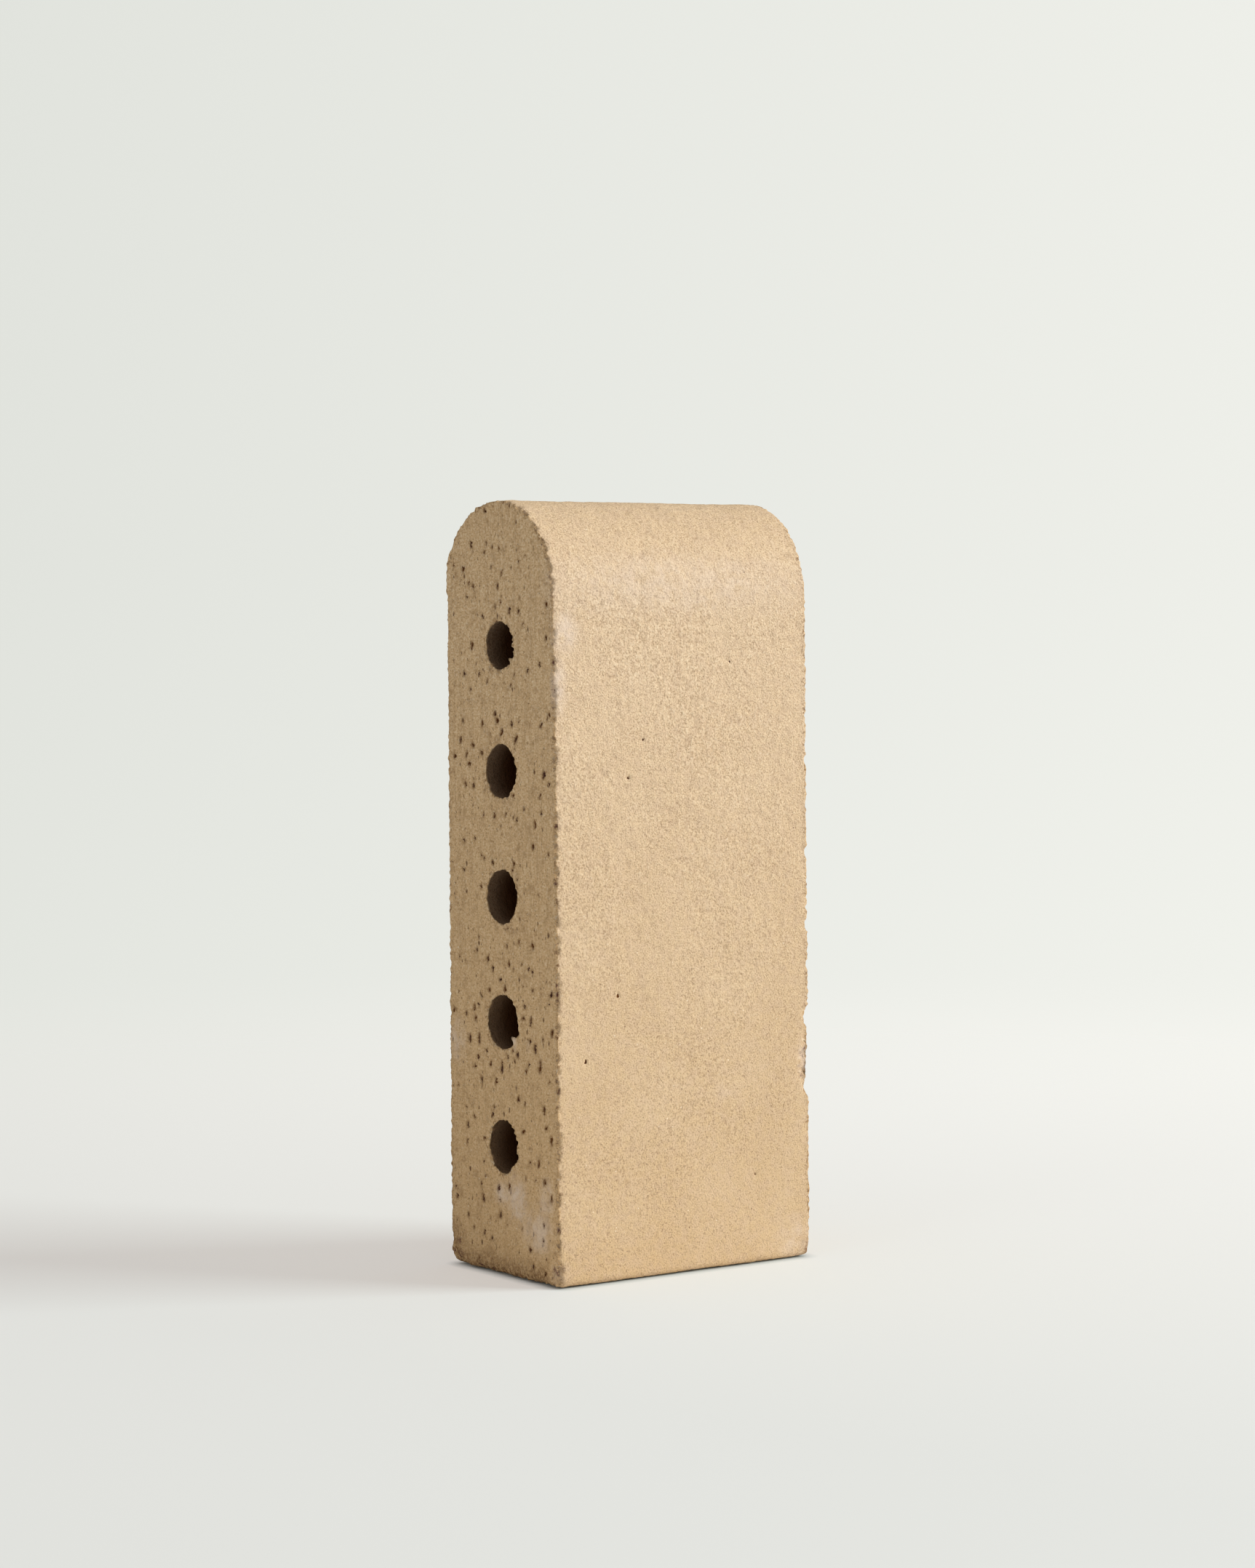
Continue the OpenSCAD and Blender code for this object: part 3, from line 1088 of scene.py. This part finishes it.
# %% Make the mesh
clay_mesh = bpy.data.meshes.new("paver_clay")
clay_mesh.from_pydata((clay * MM).tolist(), [], triangles.tolist())
clay_mesh.shade_smooth()
for name, values in marks.items():
    clay_mesh.attributes.new(name, "FLOAT", "POINT").data.foreach_set("value", values.astype(np.float32))
bake_map = clay_mesh.uv_layers.new(name="OFBake")
map_side = map_corners.max() + MAP_GAP
map_places = (map_corners + MAP_GAP / 2) / map_side
bake_map.data.foreach_set("uv", map_places.ravel().astype(np.float32))
paver_clay = bpy.data.objects.new("paver_clay", clay_mesh)
bpy.context.scene.collection.objects.link(paver_clay)
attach(paver_clay, "root")
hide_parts("paver")
print(f"paver_clay has {len(clay_mesh.polygons)} triangles on a map {map_side:.0f} mm square")

# %% [markdown]
# ## The clay's finish
#
# The finish is one Principled shader with everything drawn by nodes, in millimetres: the object's own
# coordinates are scaled by a thousand, so a noise scale of one has lumps of one millimetre. The colours
# are written as on a paint card, from nought to 255, and turned into the linear values that nodes use.

# %% Helpers for the clay's nodes
clay_finish = bpy.data.materials.new("fired_clay")
clay_finish.use_nodes = True
clay_tree = clay_finish.node_tree
clay_shader = clay_tree.nodes["Principled BSDF"]


def paint(red, green, blue):
    """A paint card's colour as linear light."""
    parts = [value / 255 for value in (red, green, blue)]
    linear = [part / 12.92 if part <= 0.04045 else ((part + 0.055) / 1.055) ** 2.4 for part in parts]
    return (*linear, 1.0)


def add_node(tree, kind, sockets=None, **settings):
    """Adds a node, sets it up, and fills its sockets with values or with other nodes' outputs."""
    made = tree.nodes.new(kind)
    for name, value in settings.items():
        setattr(made, name, value)
    for name, value in (sockets or {}).items():
        if isinstance(value, bpy.types.NodeSocket):
            tree.links.new(value, made.inputs[name])
        else:
            made.inputs[name].default_value = value
    return made


def add_math(tree, operation, first, second=0.0):
    """One sum on two numbers."""
    return add_node(tree, "ShaderNodeMath", {0: first, 1: second}, operation=operation).outputs[0]


def add_ramp(tree, value, begin, end, low=0.0, high=1.0, **settings):
    """Maps a value from one range to another, held at both ends."""
    sockets = {"Value": value, "From Min": begin, "From Max": end, "To Min": low, "To Max": high}
    return add_node(tree, "ShaderNodeMapRange", sockets, **settings).outputs["Result"]


def add_mix(tree, share, first, second):
    """Lays one colour over another."""
    return add_node(tree, "ShaderNodeMix", {0: share, 6: first, 7: second}, data_type="RGBA").outputs[2]


def add_dot(tree, places, way):
    """How far each place lies along a way."""
    sockets = {0: places, 1: way}
    return add_node(tree, "ShaderNodeVectorMath", sockets, operation="DOT_PRODUCT").outputs["Value"]


clay_math = partial(add_math, clay_tree)
clay_ramp = partial(add_ramp, clay_tree)
clay_mix = partial(add_mix, clay_tree)
clay_places = add_node(clay_tree, "ShaderNodeTexCoord").outputs["Object"]


def clay_mark(name):
    """One of the marks stored on the mesh."""
    return add_node(clay_tree, "ShaderNodeAttribute", attribute_name=name).outputs["Fac"]


def clay_millimetres(stretch=(1, 1, 1)):
    """The clay's own coordinates in millimetres, drawn out along an axis where stretch is over one."""
    scale = tuple(1 / MM / part for part in stretch)
    return add_node(clay_tree, "ShaderNodeMapping", {"Vector": clay_places, "Scale": scale}).outputs["Vector"]


def clay_noise(places, size, detail=2.0, roughness=0.5):
    """Noise with lumps of about that many millimetres."""
    sockets = {"Vector": places, "Scale": 1 / size, "Detail": detail, "Roughness": roughness}
    return add_node(clay_tree, "ShaderNodeTexNoise", sockets).outputs["Fac"]


SPECK_BLUR = 0.25
SPECK_LEAST = 0.5


def clay_specks(places, gap, size, share, strength):
    """Small round specks, one in that share of the cells, which are that many millimetres apart."""
    cells = add_node(clay_tree, "ShaderNodeTexVoronoi", {"Vector": places, "Scale": 1 / gap})
    chance = add_node(clay_tree, "ShaderNodeSeparateColor", {"Color": cells.outputs["Color"]})
    radius = clay_math("MULTIPLY", clay_ramp(chance.outputs["Green"], 0, 1, SPECK_LEAST), size / 2 / gap)
    inside = clay_math("SUBTRACT", radius, cells.outputs["Distance"])
    spot = clay_ramp(inside, 0.0, size * SPECK_BLUR / gap)
    chosen = clay_math("LESS_THAN", chance.outputs["Red"], share)
    return clay_math("MULTIPLY", clay_math("MULTIPLY", spot, chosen), strength)


def clay_ragged(places, size, shift):
    """Coordinates pushed about by noise, so that whatever is drawn on them has ragged edges."""
    waver = add_node(clay_tree, "ShaderNodeTexNoise", {"Vector": places, "Scale": 1 / size}).outputs["Color"]
    push = add_node(clay_tree, "ShaderNodeVectorMath", {0: waver, 1: (0.5, 0.5, 0.5)}, operation="SUBTRACT")
    sockets = {0: push.outputs[0], 1: (shift, shift, shift), 2: places}
    return add_node(clay_tree, "ShaderNodeVectorMath", sockets, operation="MULTIPLY_ADD").outputs[0]


def lay_coats(colour, coats):
    """Lays coats over a colour, each with its share, which can vary from place to place, and its tint."""
    for share, tint in coats:
        colour = clay_mix(share, colour, tint)
    return colour


SMEAR_STRETCH = (1, 1.4, 1)
GRIT_STRETCH = (1, 1, 1.7)
# The size of the lumps that push the coordinates about, and how far they push, in millimetres
SAND_RAG = (0.35, 0.4)
GRIT_RAG = (0.4, 0.9)
even = clay_millimetres()
smeared = clay_millimetres(SMEAR_STRETCH)
sandy = clay_ragged(even, *SAND_RAG)
gritty = clay_ragged(even, *GRIT_RAG)
upright_grit = clay_ragged(clay_millimetres(GRIT_STRETCH), *GRIT_RAG)
print("node helpers ready")

# %% [markdown]
# ### The die skin's colour
#
# Close up the skin is sand: pale buff grains about half a millimetre across, brown flecks that are more
# marked towards the foot, pinker patches of a few millimetres, and dots of brown clay, iron and quartz.
# Further off it is paler under the nose, where the bloom marks carry a painted highlight, and warmer and
# darker towards the foot, partly as painted shade for light that falls off there, like the stronger
# flecks low down. The same sandy noise will drive the bump, so that the low spots are greyer and darker
# and the high spots paler: partly the sand's own tone, partly painted shade and highlight on the grain.
# A photograph laid on as a picture would be quicker, but it would carry its own light.

# %% Colour the die skin
SKIN_BUFF = paint(231, 204, 169)
SKIN_LIGHT = paint(247, 226, 195)
SKIN_PINK = paint(218, 191, 163)
SKIN_GREY_AND_HOLLOW_SHADE = paint(178, 150, 121)
SKIN_WARM = paint(208, 178, 134)
SKIN_FLECK = paint(162, 133, 105)
CLAY_DOT = paint(150, 116, 92)
IRON_DOT = paint(114, 82, 66)
QUARTZ_DOT = paint(250, 233, 208)
# The skin grows warmer and darker from this share of the length down to the foot, up to this much; the
# darkening is partly painted shade for light that falls off towards the floor
WARM_BELOW_SHARE = 0.8
FOOT_WARMTH_AND_SHADE = 0.75
# The crown is warmer too, from this far above the spring of the nose to this far below its top
CROWN_BEGIN = 2
CROWN_END = 8
CROWN_WARMTH = 0.25
# The flecks are weakest where the warmth begins, and strongest from this share of the length down; their
# growth downwards is partly painted shade
FLECK_FULL_SHARE = 0.25
FLECK_STRENGTH = (0.22, 0.68)

# Each noise has the size of its lumps in millimetres, its detail and its roughness
sand = clay_noise(even, 0.5, 1.5, 0.55)
fleck = clay_noise(even, 0.66, 1.0, 0.5)
peel = clay_noise(even, 1.9, 3.0, 0.65)
blush = clay_noise(even, 3.6, 2.0)
cloud = clay_noise(even, 26, 2.0)
heights = add_node(clay_tree, "ShaderNodeSeparateXYZ", {0: even}).outputs["Z"]
warm_top = length * WARM_BELOW_SHARE
foot_warmth_and_shade = clay_ramp(heights, warm_top, 0.0, 0.0, FOOT_WARMTH_AND_SHADE)
crown_warmth = clay_ramp(heights, spring_height + CROWN_BEGIN, length - CROWN_END, 0.0, CROWN_WARMTH)
fleck_and_shade_share = clay_ramp(heights, warm_top, length * FLECK_FULL_SHARE, *FLECK_STRENGTH)
# Each coat: where its noise begins and ends, with its weakest and strongest share, and its tint
# Specks have the gap between their cells, their size, the share of the cells, and their strength
skin_coats = (
    # Paler on the high spots of the sand, which drives the bump too: partly its own tone, partly painted
    # highlight
    (clay_ramp(sand, 0.5, 0.72), SKIN_LIGHT),
    # Warmer and darker towards the foot, partly painted shade there; warmer on the crown
    (clay_math("MAXIMUM", foot_warmth_and_shade, crown_warmth), SKIN_WARM),
    (clay_ramp(blush, 0.42, 0.62, 0.0, 0.35), SKIN_PINK),
    # Greyer in the low spots of the peel and the sand, which drive the bump too: partly their own tone,
    # partly painted shade in the hollows
    (clay_ramp(peel, 0.46, 0.34, 0.0, 0.3), SKIN_GREY_AND_HOLLOW_SHADE),
    (clay_ramp(sand, 0.48, 0.28, 0.0, 0.85), SKIN_GREY_AND_HOLLOW_SHADE),
    (clay_math("MULTIPLY", clay_ramp(fleck, 0.37, 0.28), fleck_and_shade_share), SKIN_FLECK),
    (clay_ramp(cloud, 0.4, 0.7, 0.0, 0.12), SKIN_LIGHT),
    (clay_specks(sandy, 1.1, 0.5, 0.4, 0.4), CLAY_DOT),
    (clay_specks(sandy, 4.5, 0.8, 0.35, 0.7), IRON_DOT),
    (clay_specks(sandy, 2.6, 0.55, 0.3, 0.9), QUARTZ_DOT),
)
skin_colour = lay_coats(SKIN_BUFF, skin_coats)
print(f"die skin coloured in {len(skin_coats)} coats")

# %% [markdown]
# ### The cut faces' colour
#
# The wire opens the body of the clay, which is browner and coarser. It drags streaks and grains upright,
# and the crumb between them is a little broader than high. Dark iron grains, rust and white flecks show
# all over it. They are too small to be modelled one by one, so cells of noise draw them.

# %% Colour the cut faces
CUT_BUFF = paint(224, 191, 147)
CUT_LIGHT = paint(246, 223, 189)
CUT_SHADE = paint(158, 124, 89)
CUT_WARM = paint(210, 173, 124)
IRON_GRAIN = paint(92, 60, 40)
RUST_FLECK = paint(198, 150, 84)
WHITE_FLECK = paint(246, 233, 210)
DRAG_STRETCH = (1, 1, 14)
CUT_WARMTH_SHARE = 0.7

crumb = clay_noise(smeared, 0.55, 3.0, 0.7)
clod = clay_noise(smeared, 2.6, 3.0, 0.65)
drag = clay_noise(clay_millimetres(DRAG_STRETCH), 1.3, 2.0)
cut_coats = (
    (clay_ramp(crumb, 0.5, 0.68), CUT_LIGHT),
    (clay_ramp(drag, 0.5, 0.3, 0.0, 0.25), CUT_SHADE),
    # Warmer and darker towards the foot, partly painted shade, as on the skin
    (clay_math("MULTIPLY", foot_warmth_and_shade, CUT_WARMTH_SHARE), CUT_WARM),
    (clay_ramp(crumb, 0.47, 0.3, 0.0, 0.7), CUT_SHADE),
    (clay_ramp(clod, 0.47, 0.3, 0.0, 0.4), CUT_SHADE),
    (clay_specks(upright_grit, 1.0, 0.5, 0.2, 0.75), IRON_GRAIN),
    (clay_specks(upright_grit, 1.7, 0.85, 0.22, 0.8), IRON_GRAIN),
    (clay_specks(upright_grit, 3.1, 1.3, 0.25, 0.85), IRON_GRAIN),
    (clay_specks(gritty, 2.4, 0.8, 0.4, 0.65), RUST_FLECK),
    (clay_specks(gritty, 2.0, 0.6, 0.35, 0.8), WHITE_FLECK),
)
cut_colour = lay_coats(CUT_BUFF, cut_coats)
print(f"cut faces coloured in {len(cut_coats)} coats")

# %% [markdown]
# ### Breaks, pits, bloom and soil
#
# The marks on the mesh now decide which colour shows. A soft mark times a noise gives a ragged edge, so
# the bloom is blotchy and the soil at the foot is crumbled, although the marks are smooth. Broken clay
# shows pale and dark grains, and the pits have brown stains round them, where iron has burnt out.

# %% Lay the marks over the colours
PIT_BROWN = paint(116, 74, 40)
PIT_PURPLE = paint(92, 62, 52)
STAIN_BROWN = paint(122, 86, 54)
BREAK_BUFF = paint(204, 170, 126)
BREAK_PALE = paint(243, 225, 196)
BREAK_DARK = paint(94, 64, 52)
ARRIS_BROWN = paint(124, 86, 54)
BLOOM_AND_HIGHLIGHT_WHITE = paint(240, 222, 206)
SOIL_BROWN = paint(128, 92, 60)
# The core walls are painted dark as shade, since little light gets into the holes
CORE_PAINTED_SHADE_BROWN = paint(72, 41, 19)
GRAIN_PURPLE = paint(98, 58, 54)
BREAK_SHARE = 0.6
# The levels of a noise, and how far they push the edge of a mark in or out
EDGE_RAG = (0.3, 0.7, -0.3, 0.3)

crumble = clay_noise(even, 1.1, 3.0, 0.65)
wisp = clay_noise(even, 4.0, 4.0, 0.65)


def marked(mark, begin, end, low, high, grain=crumble):
    """Where a mark and a noise meet."""
    return clay_math("MULTIPLY", mark, clay_ramp(grain, begin, end, low, high))


def ragged_edge(name, grain):
    """A mark with an edge that a noise pushes in and out."""
    return clay_math("ADD", clay_mark(name), clay_ramp(grain, *EDGE_RAG))


broken_mark = clay_mark("broken")
arris_mark = marked(clay_mark("arris"), 0.4, 0.58, 0.15, 1.0, wisp)
pit_colour = clay_mix(clay_ramp(wisp, 0.45, 0.55), PIT_BROWN, PIT_PURPLE)
mark_coats = (
    (clay_ramp(ragged_edge("cut", crumble), 0.35, 0.65), cut_colour),
    (marked(clay_mark("rim"), 0.55, 0.63, 0.0, 0.7), STAIN_BROWN),
    (marked(clay_mark("rim"), 0.42, 0.35, 0.0, 0.6), CUT_LIGHT),
    (clay_math("MULTIPLY", broken_mark, BREAK_SHARE), BREAK_BUFF),
    (marked(broken_mark, 0.54, 0.62, 0.0, 0.7), BREAK_PALE),
    (marked(broken_mark, 0.42, 0.34, 0.0, 0.6), BREAK_DARK),
    (marked(arris_mark, 0.51, 0.58, 0.0, 0.8), ARRIS_BROWN),
    # Pale salt bloom, and the painted highlight at the spring of the nose
    (marked(clay_mark("bloom_and_highlight"), 0.36, 0.6, 0.12, 0.7, wisp), BLOOM_AND_HIGHLIGHT_WHITE),
    (marked(clay_mark("soil"), 0.42, 0.62, 0.2, 0.8), SOIL_BROWN),
    (marked(clay_mark("stain"), 0.4, 0.56, 0.25, 0.85), STAIN_BROWN),
    # Painted shade inside the core holes
    (clay_mark("core"), CORE_PAINTED_SHADE_BROWN),
    (marked(clay_mark("grain"), 0.4, 0.55, 0.0, 1.0), GRAIN_PURPLE),
    (clay_ramp(ragged_edge("pit", crumb), 0.3, 0.6), pit_colour),
)
clay_tree.links.new(lay_coats(skin_colour, mark_coats), clay_shader.inputs["Base Color"])
print(f"{len(mark_coats)} coats of marks laid over the colours")

# %% [markdown]
# ### Grain and dullness
#
# Unglazed clay scatters light almost evenly, so the shader is rough and barely specular. Three bumps in
# a chain give the peel, the sandy grain and the finer grit, all well under a millimetre high, on top of
# the relief that is in the mesh.

# %% Add the grain and the roughness
PEEL_HEIGHT = 0.52 * MM
GRAIN_HEIGHT = 0.3 * MM
GRIT_HEIGHT = 0.035 * MM
SKIN_GRAIN_SHARE = 0.6
CRUMB_SHARE = 1.5
LEAST_PEEL_BUMP = 0.5
CLAY_SHINE = 0.02
# The levels of the sandy noise between which the clay goes from its roughest to its smoothest
SAND_SPAN = (0.3, 0.7)
SAND_ROUGHNESS = (0.97, 0.86)
clay_shader.inputs["Specular IOR Level"].default_value = CLAY_SHINE
peel_height = clay_math("MULTIPLY", peel, clay_ramp(heights, *peel_span, LEAST_PEEL_BUMP, 1.0))
crumbly = clay_math("MULTIPLY", clay_math("MAXIMUM", clay_mark("soil"), broken_mark), CRUMB_SHARE)
lumps_height = clay_mix(clay_mark("cut"), peel_height, clod)
crumb_height = clay_math("MULTIPLY", crumbly, clay_ramp(crumble, 0.0, 1.0, -0.5, 0.5))
lumps_height = clay_math("ADD", lumps_height, crumb_height)
grain_height = clay_mix(clay_mark("cut"), clay_math("MULTIPLY", sand, SKIN_GRAIN_SHARE), crumb)
grit_height = clay_noise(even, 0.3)
bump = {}
for height, most in ((lumps_height, PEEL_HEIGHT), (grain_height, GRAIN_HEIGHT), (grit_height, GRIT_HEIGHT)):
    bumped = add_node(clay_tree, "ShaderNodeBump", {"Height": height, "Distance": most, **bump})
    bump = {"Normal": bumped.outputs["Normal"]}
clay_tree.links.new(bump["Normal"], clay_shader.inputs["Normal"])
clay_tree.links.new(clay_ramp(sand, *SAND_SPAN, *SAND_ROUGHNESS), clay_shader.inputs["Roughness"])
clay_mesh.materials.append(clay_finish)
print(f"{len(clay_tree.nodes)} nodes in the clay's finish")

# %% [markdown]
# ## Floor and backdrop
#
# The paver stands on a pale floor that fades into a pale backdrop with no line between them. A curved
# sheet behind it would show its other side in the back views, so the floor is a disc that turns clear
# far from the paver, and the world shows through. The world is pale only to the camera and to
# reflections. To the clay it is a dim, even fill. The floor does the same: light that bounces off it
# meets plain pale paper, but the camera sees a darker paper with a glow of its own, which falls off to
# the left and towards the camera. So the cast shadow is no darker than in a bright studio, and only
# close under the paver, where the floor is hemmed in, does the glow go out.

# %% Lay the floor
FLOOR_RADIUS = 4.0
FLOOR_SIDES = 96
FADE_BEGIN = 0.15
FADE_END = 1.0
FLOOR_PALE = (0.80, 0.79, 0.76, 1.0)
FLOOR_SEEN = (0.41, 0.495, 0.5, 1.0)
FLOOR_GLOW = (0.473, 0.413, 0.387, 1.0)
CONTACT_REACH = 0.004
# The glow dims along a way that lies this far to the left of the way to the camera
DIM_SIDE = math.radians(42)
# Places along that way, in metres from the middle of the foot, and the levels of the glow there
GLOW_REACH = (-0.6, 0.15)
GLOW_BRIGHT = 1.28
GLOW_DIM = 0.92

rim_turns = np.arange(FLOOR_SIDES) * 2 * math.pi / FLOOR_SIDES
floor_rim = FLOOR_RADIUS * np.column_stack((np.cos(rim_turns), np.sin(rim_turns), np.zeros(FLOOR_SIDES)))
floor_mesh = bpy.data.meshes.new("floor")
floor_mesh.from_pydata(floor_rim.tolist(), [], [list(range(FLOOR_SIDES))])
floor = bpy.data.objects.new("floor", floor_mesh)
bpy.context.scene.collection.objects.link(floor)

floor_finish = bpy.data.materials.new("pale_floor")
floor_finish.use_nodes = True
floor_tree = floor_finish.node_tree
floor_tree.nodes.clear()
floor_places = add_node(floor_tree, "ShaderNodeTexCoord").outputs["Object"]
from_middle = add_node(floor_tree, "ShaderNodeVectorMath", {0: floor_places}, operation="LENGTH")
distance = from_middle.outputs["Value"]
floor_fade = add_ramp(floor_tree, distance, FADE_BEGIN, FADE_END, interpolation_type="SMOOTHSTEP")
floor_contact = add_node(floor_tree, "ShaderNodeAmbientOcclusion", {"Distance": CONTACT_REACH}).outputs["AO"]
dim_turn = camera_heading - DIM_SIDE
dim_way = Vector((math.sin(dim_turn), -math.cos(dim_turn), 0.0))
dimness = add_dot(floor_tree, floor_places, dim_way)
floor_level = add_ramp(floor_tree, dimness, *GLOW_REACH, GLOW_BRIGHT, GLOW_DIM)
glow_level = add_math(floor_tree, "MULTIPLY", floor_contact, floor_level)
to_camera = add_node(floor_tree, "ShaderNodeLightPath").outputs["Is Camera Ray"]


def floor_shader(kind, sockets=None):
    """One shader of the floor."""
    return add_node(floor_tree, kind, sockets).outputs[0]


floor_body = floor_shader("ShaderNodeBsdfDiffuse", {"Color": FLOOR_PALE})
floor_seen = floor_shader("ShaderNodeBsdfDiffuse", {"Color": FLOOR_SEEN})
floor_glow = floor_shader("ShaderNodeEmission", {"Color": FLOOR_GLOW, "Strength": glow_level})
floor_sum = floor_shader("ShaderNodeAddShader", {0: floor_seen, 1: floor_glow})
floor_look = floor_shader("ShaderNodeMixShader", {0: to_camera, 1: floor_body, 2: floor_sum})
clear = floor_shader("ShaderNodeBsdfTransparent")
floor_mix = floor_shader("ShaderNodeMixShader", {0: floor_fade, 1: floor_look, 2: clear})
add_node(floor_tree, "ShaderNodeOutputMaterial", {"Surface": floor_mix})
floor_mesh.materials.append(floor_finish)
print(f"floor disc {2 * FLOOR_RADIUS:.0f} m across, clear past {FADE_END} m")

# %% [markdown]
# The backdrop grows a little brighter from the left of the picture to the right, towards the main lamp.
# It is brightest just below the horizon, where the floor turns clear, and dims again under that. These
# are slow ramps along fixed directions of the room, so they stay put when the camera moves.

# %% Paint the backdrop and the fill
BACKDROP_DIM = paint(225, 227, 221)
BACKDROP_BRIGHT = paint(238, 239, 233)
FILL_LIGHT = (0.34, 0.335, 0.32, 1.0)
BACKDROP_SPAN = 0.18
# Each ramp of the backdrop: the rise of the view where it begins and ends, and the level that it reaches
BACKDROP_RAMPS = ((0.02, -0.1, 1.025), (-0.15, -0.26, 0.93))

room = bpy.data.worlds.new("studio")
bpy.context.scene.world = room
room.use_nodes = True
room_tree = room.node_tree
room_tree.nodes.clear()
room_right = Vector((math.cos(camera_heading), math.sin(camera_heading), 0.0))
room_way = add_node(room_tree, "ShaderNodeTexCoord").outputs["Generated"]
room_across = add_dot(room_tree, room_way, room_right)
room_share = add_ramp(room_tree, room_across, -BACKDROP_SPAN, BACKDROP_SPAN)
backdrop = add_mix(room_tree, room_share, BACKDROP_DIM, BACKDROP_BRIGHT)
path = add_node(room_tree, "ShaderNodeLightPath").outputs
seen = add_math(room_tree, "MAXIMUM", path["Is Camera Ray"], path["Is Glossy Ray"])
shown = add_math(room_tree, "MAXIMUM", seen, path["Is Transmission Ray"])
room_colour = add_mix(room_tree, shown, FILL_LIGHT, backdrop)
room_height = add_node(room_tree, "ShaderNodeSeparateXYZ", {0: room_way}).outputs["Z"]
levels = [add_ramp(room_tree, room_height, begin, end, 1.0, level) for begin, end, level in BACKDROP_RAMPS]
room_sockets = {"Color": room_colour, "Strength": add_math(room_tree, "MULTIPLY", *levels)}
room_light = add_node(room_tree, "ShaderNodeBackground", room_sockets)
add_node(room_tree, "ShaderNodeOutputWorld", {"Surface": room_light.outputs[0]})
print(f"backdrop painted, with {len(levels)} ramps down it")

# %% [markdown]
# ## Lamps
#
# The key lamp is large and soft, to the right of the camera and above the paver. It lights the front face
# and the nose, leaves the near cut face in shade, and throws a wide soft shadow to the left. Its power is
# set so that the front face renders about as bright as its colour is written. A weak lamp overhead lifts
# the crown, and a weak one on the left grazes the cut face, so that its pits and crumbs read.

# %% Set the lamps
KEY_TURN = math.radians(50)
KEY_RISE = math.radians(26)
KEY_DISTANCE = 4.5
KEY_SIZE = 2.2
KEY_POWER = 187
TOP_HEIGHT = 3.0
TOP_SIZE = 2.0
TOP_POWER = 6
SIDE_PLACE = (-4.3, -1.1, 1.0)
SIDE_SIZE = 2.0
SIDE_POWER = 26
LAMP_COLOUR = (1.0, 0.985, 0.96)


def soft_lamp(name, place, size, power):
    """A square area lamp that looks at the middle of the paver."""
    lamp_data = bpy.data.lights.new(name, "AREA")
    lamp_data.size = size
    lamp_data.energy = power
    lamp_data.color = LAMP_COLOUR
    lamp = bpy.data.objects.new(name, lamp_data)
    aim = Vector((0, 0, length * MM / 2))
    lamp.location = place
    lamp.rotation_euler = (Vector(place) - aim).to_track_quat("Z", "Y").to_euler()
    bpy.context.scene.collection.objects.link(lamp)


key_way = Vector((
    math.sin(KEY_TURN) * math.cos(KEY_RISE),
    -math.cos(KEY_TURN) * math.cos(KEY_RISE),
    math.sin(KEY_RISE),
))
soft_lamp("key_lamp", key_way * KEY_DISTANCE, KEY_SIZE, KEY_POWER)
soft_lamp("top_lamp", (0, 0, TOP_HEIGHT), TOP_SIZE, TOP_POWER)
soft_lamp("side_lamp", SIDE_PLACE, SIDE_SIZE, SIDE_POWER)
bpy.context.scene.view_settings.view_transform = "Standard"
print(f"key lamp {KEY_POWER} W, top lamp {TOP_POWER} W, side lamp {SIDE_POWER} W")
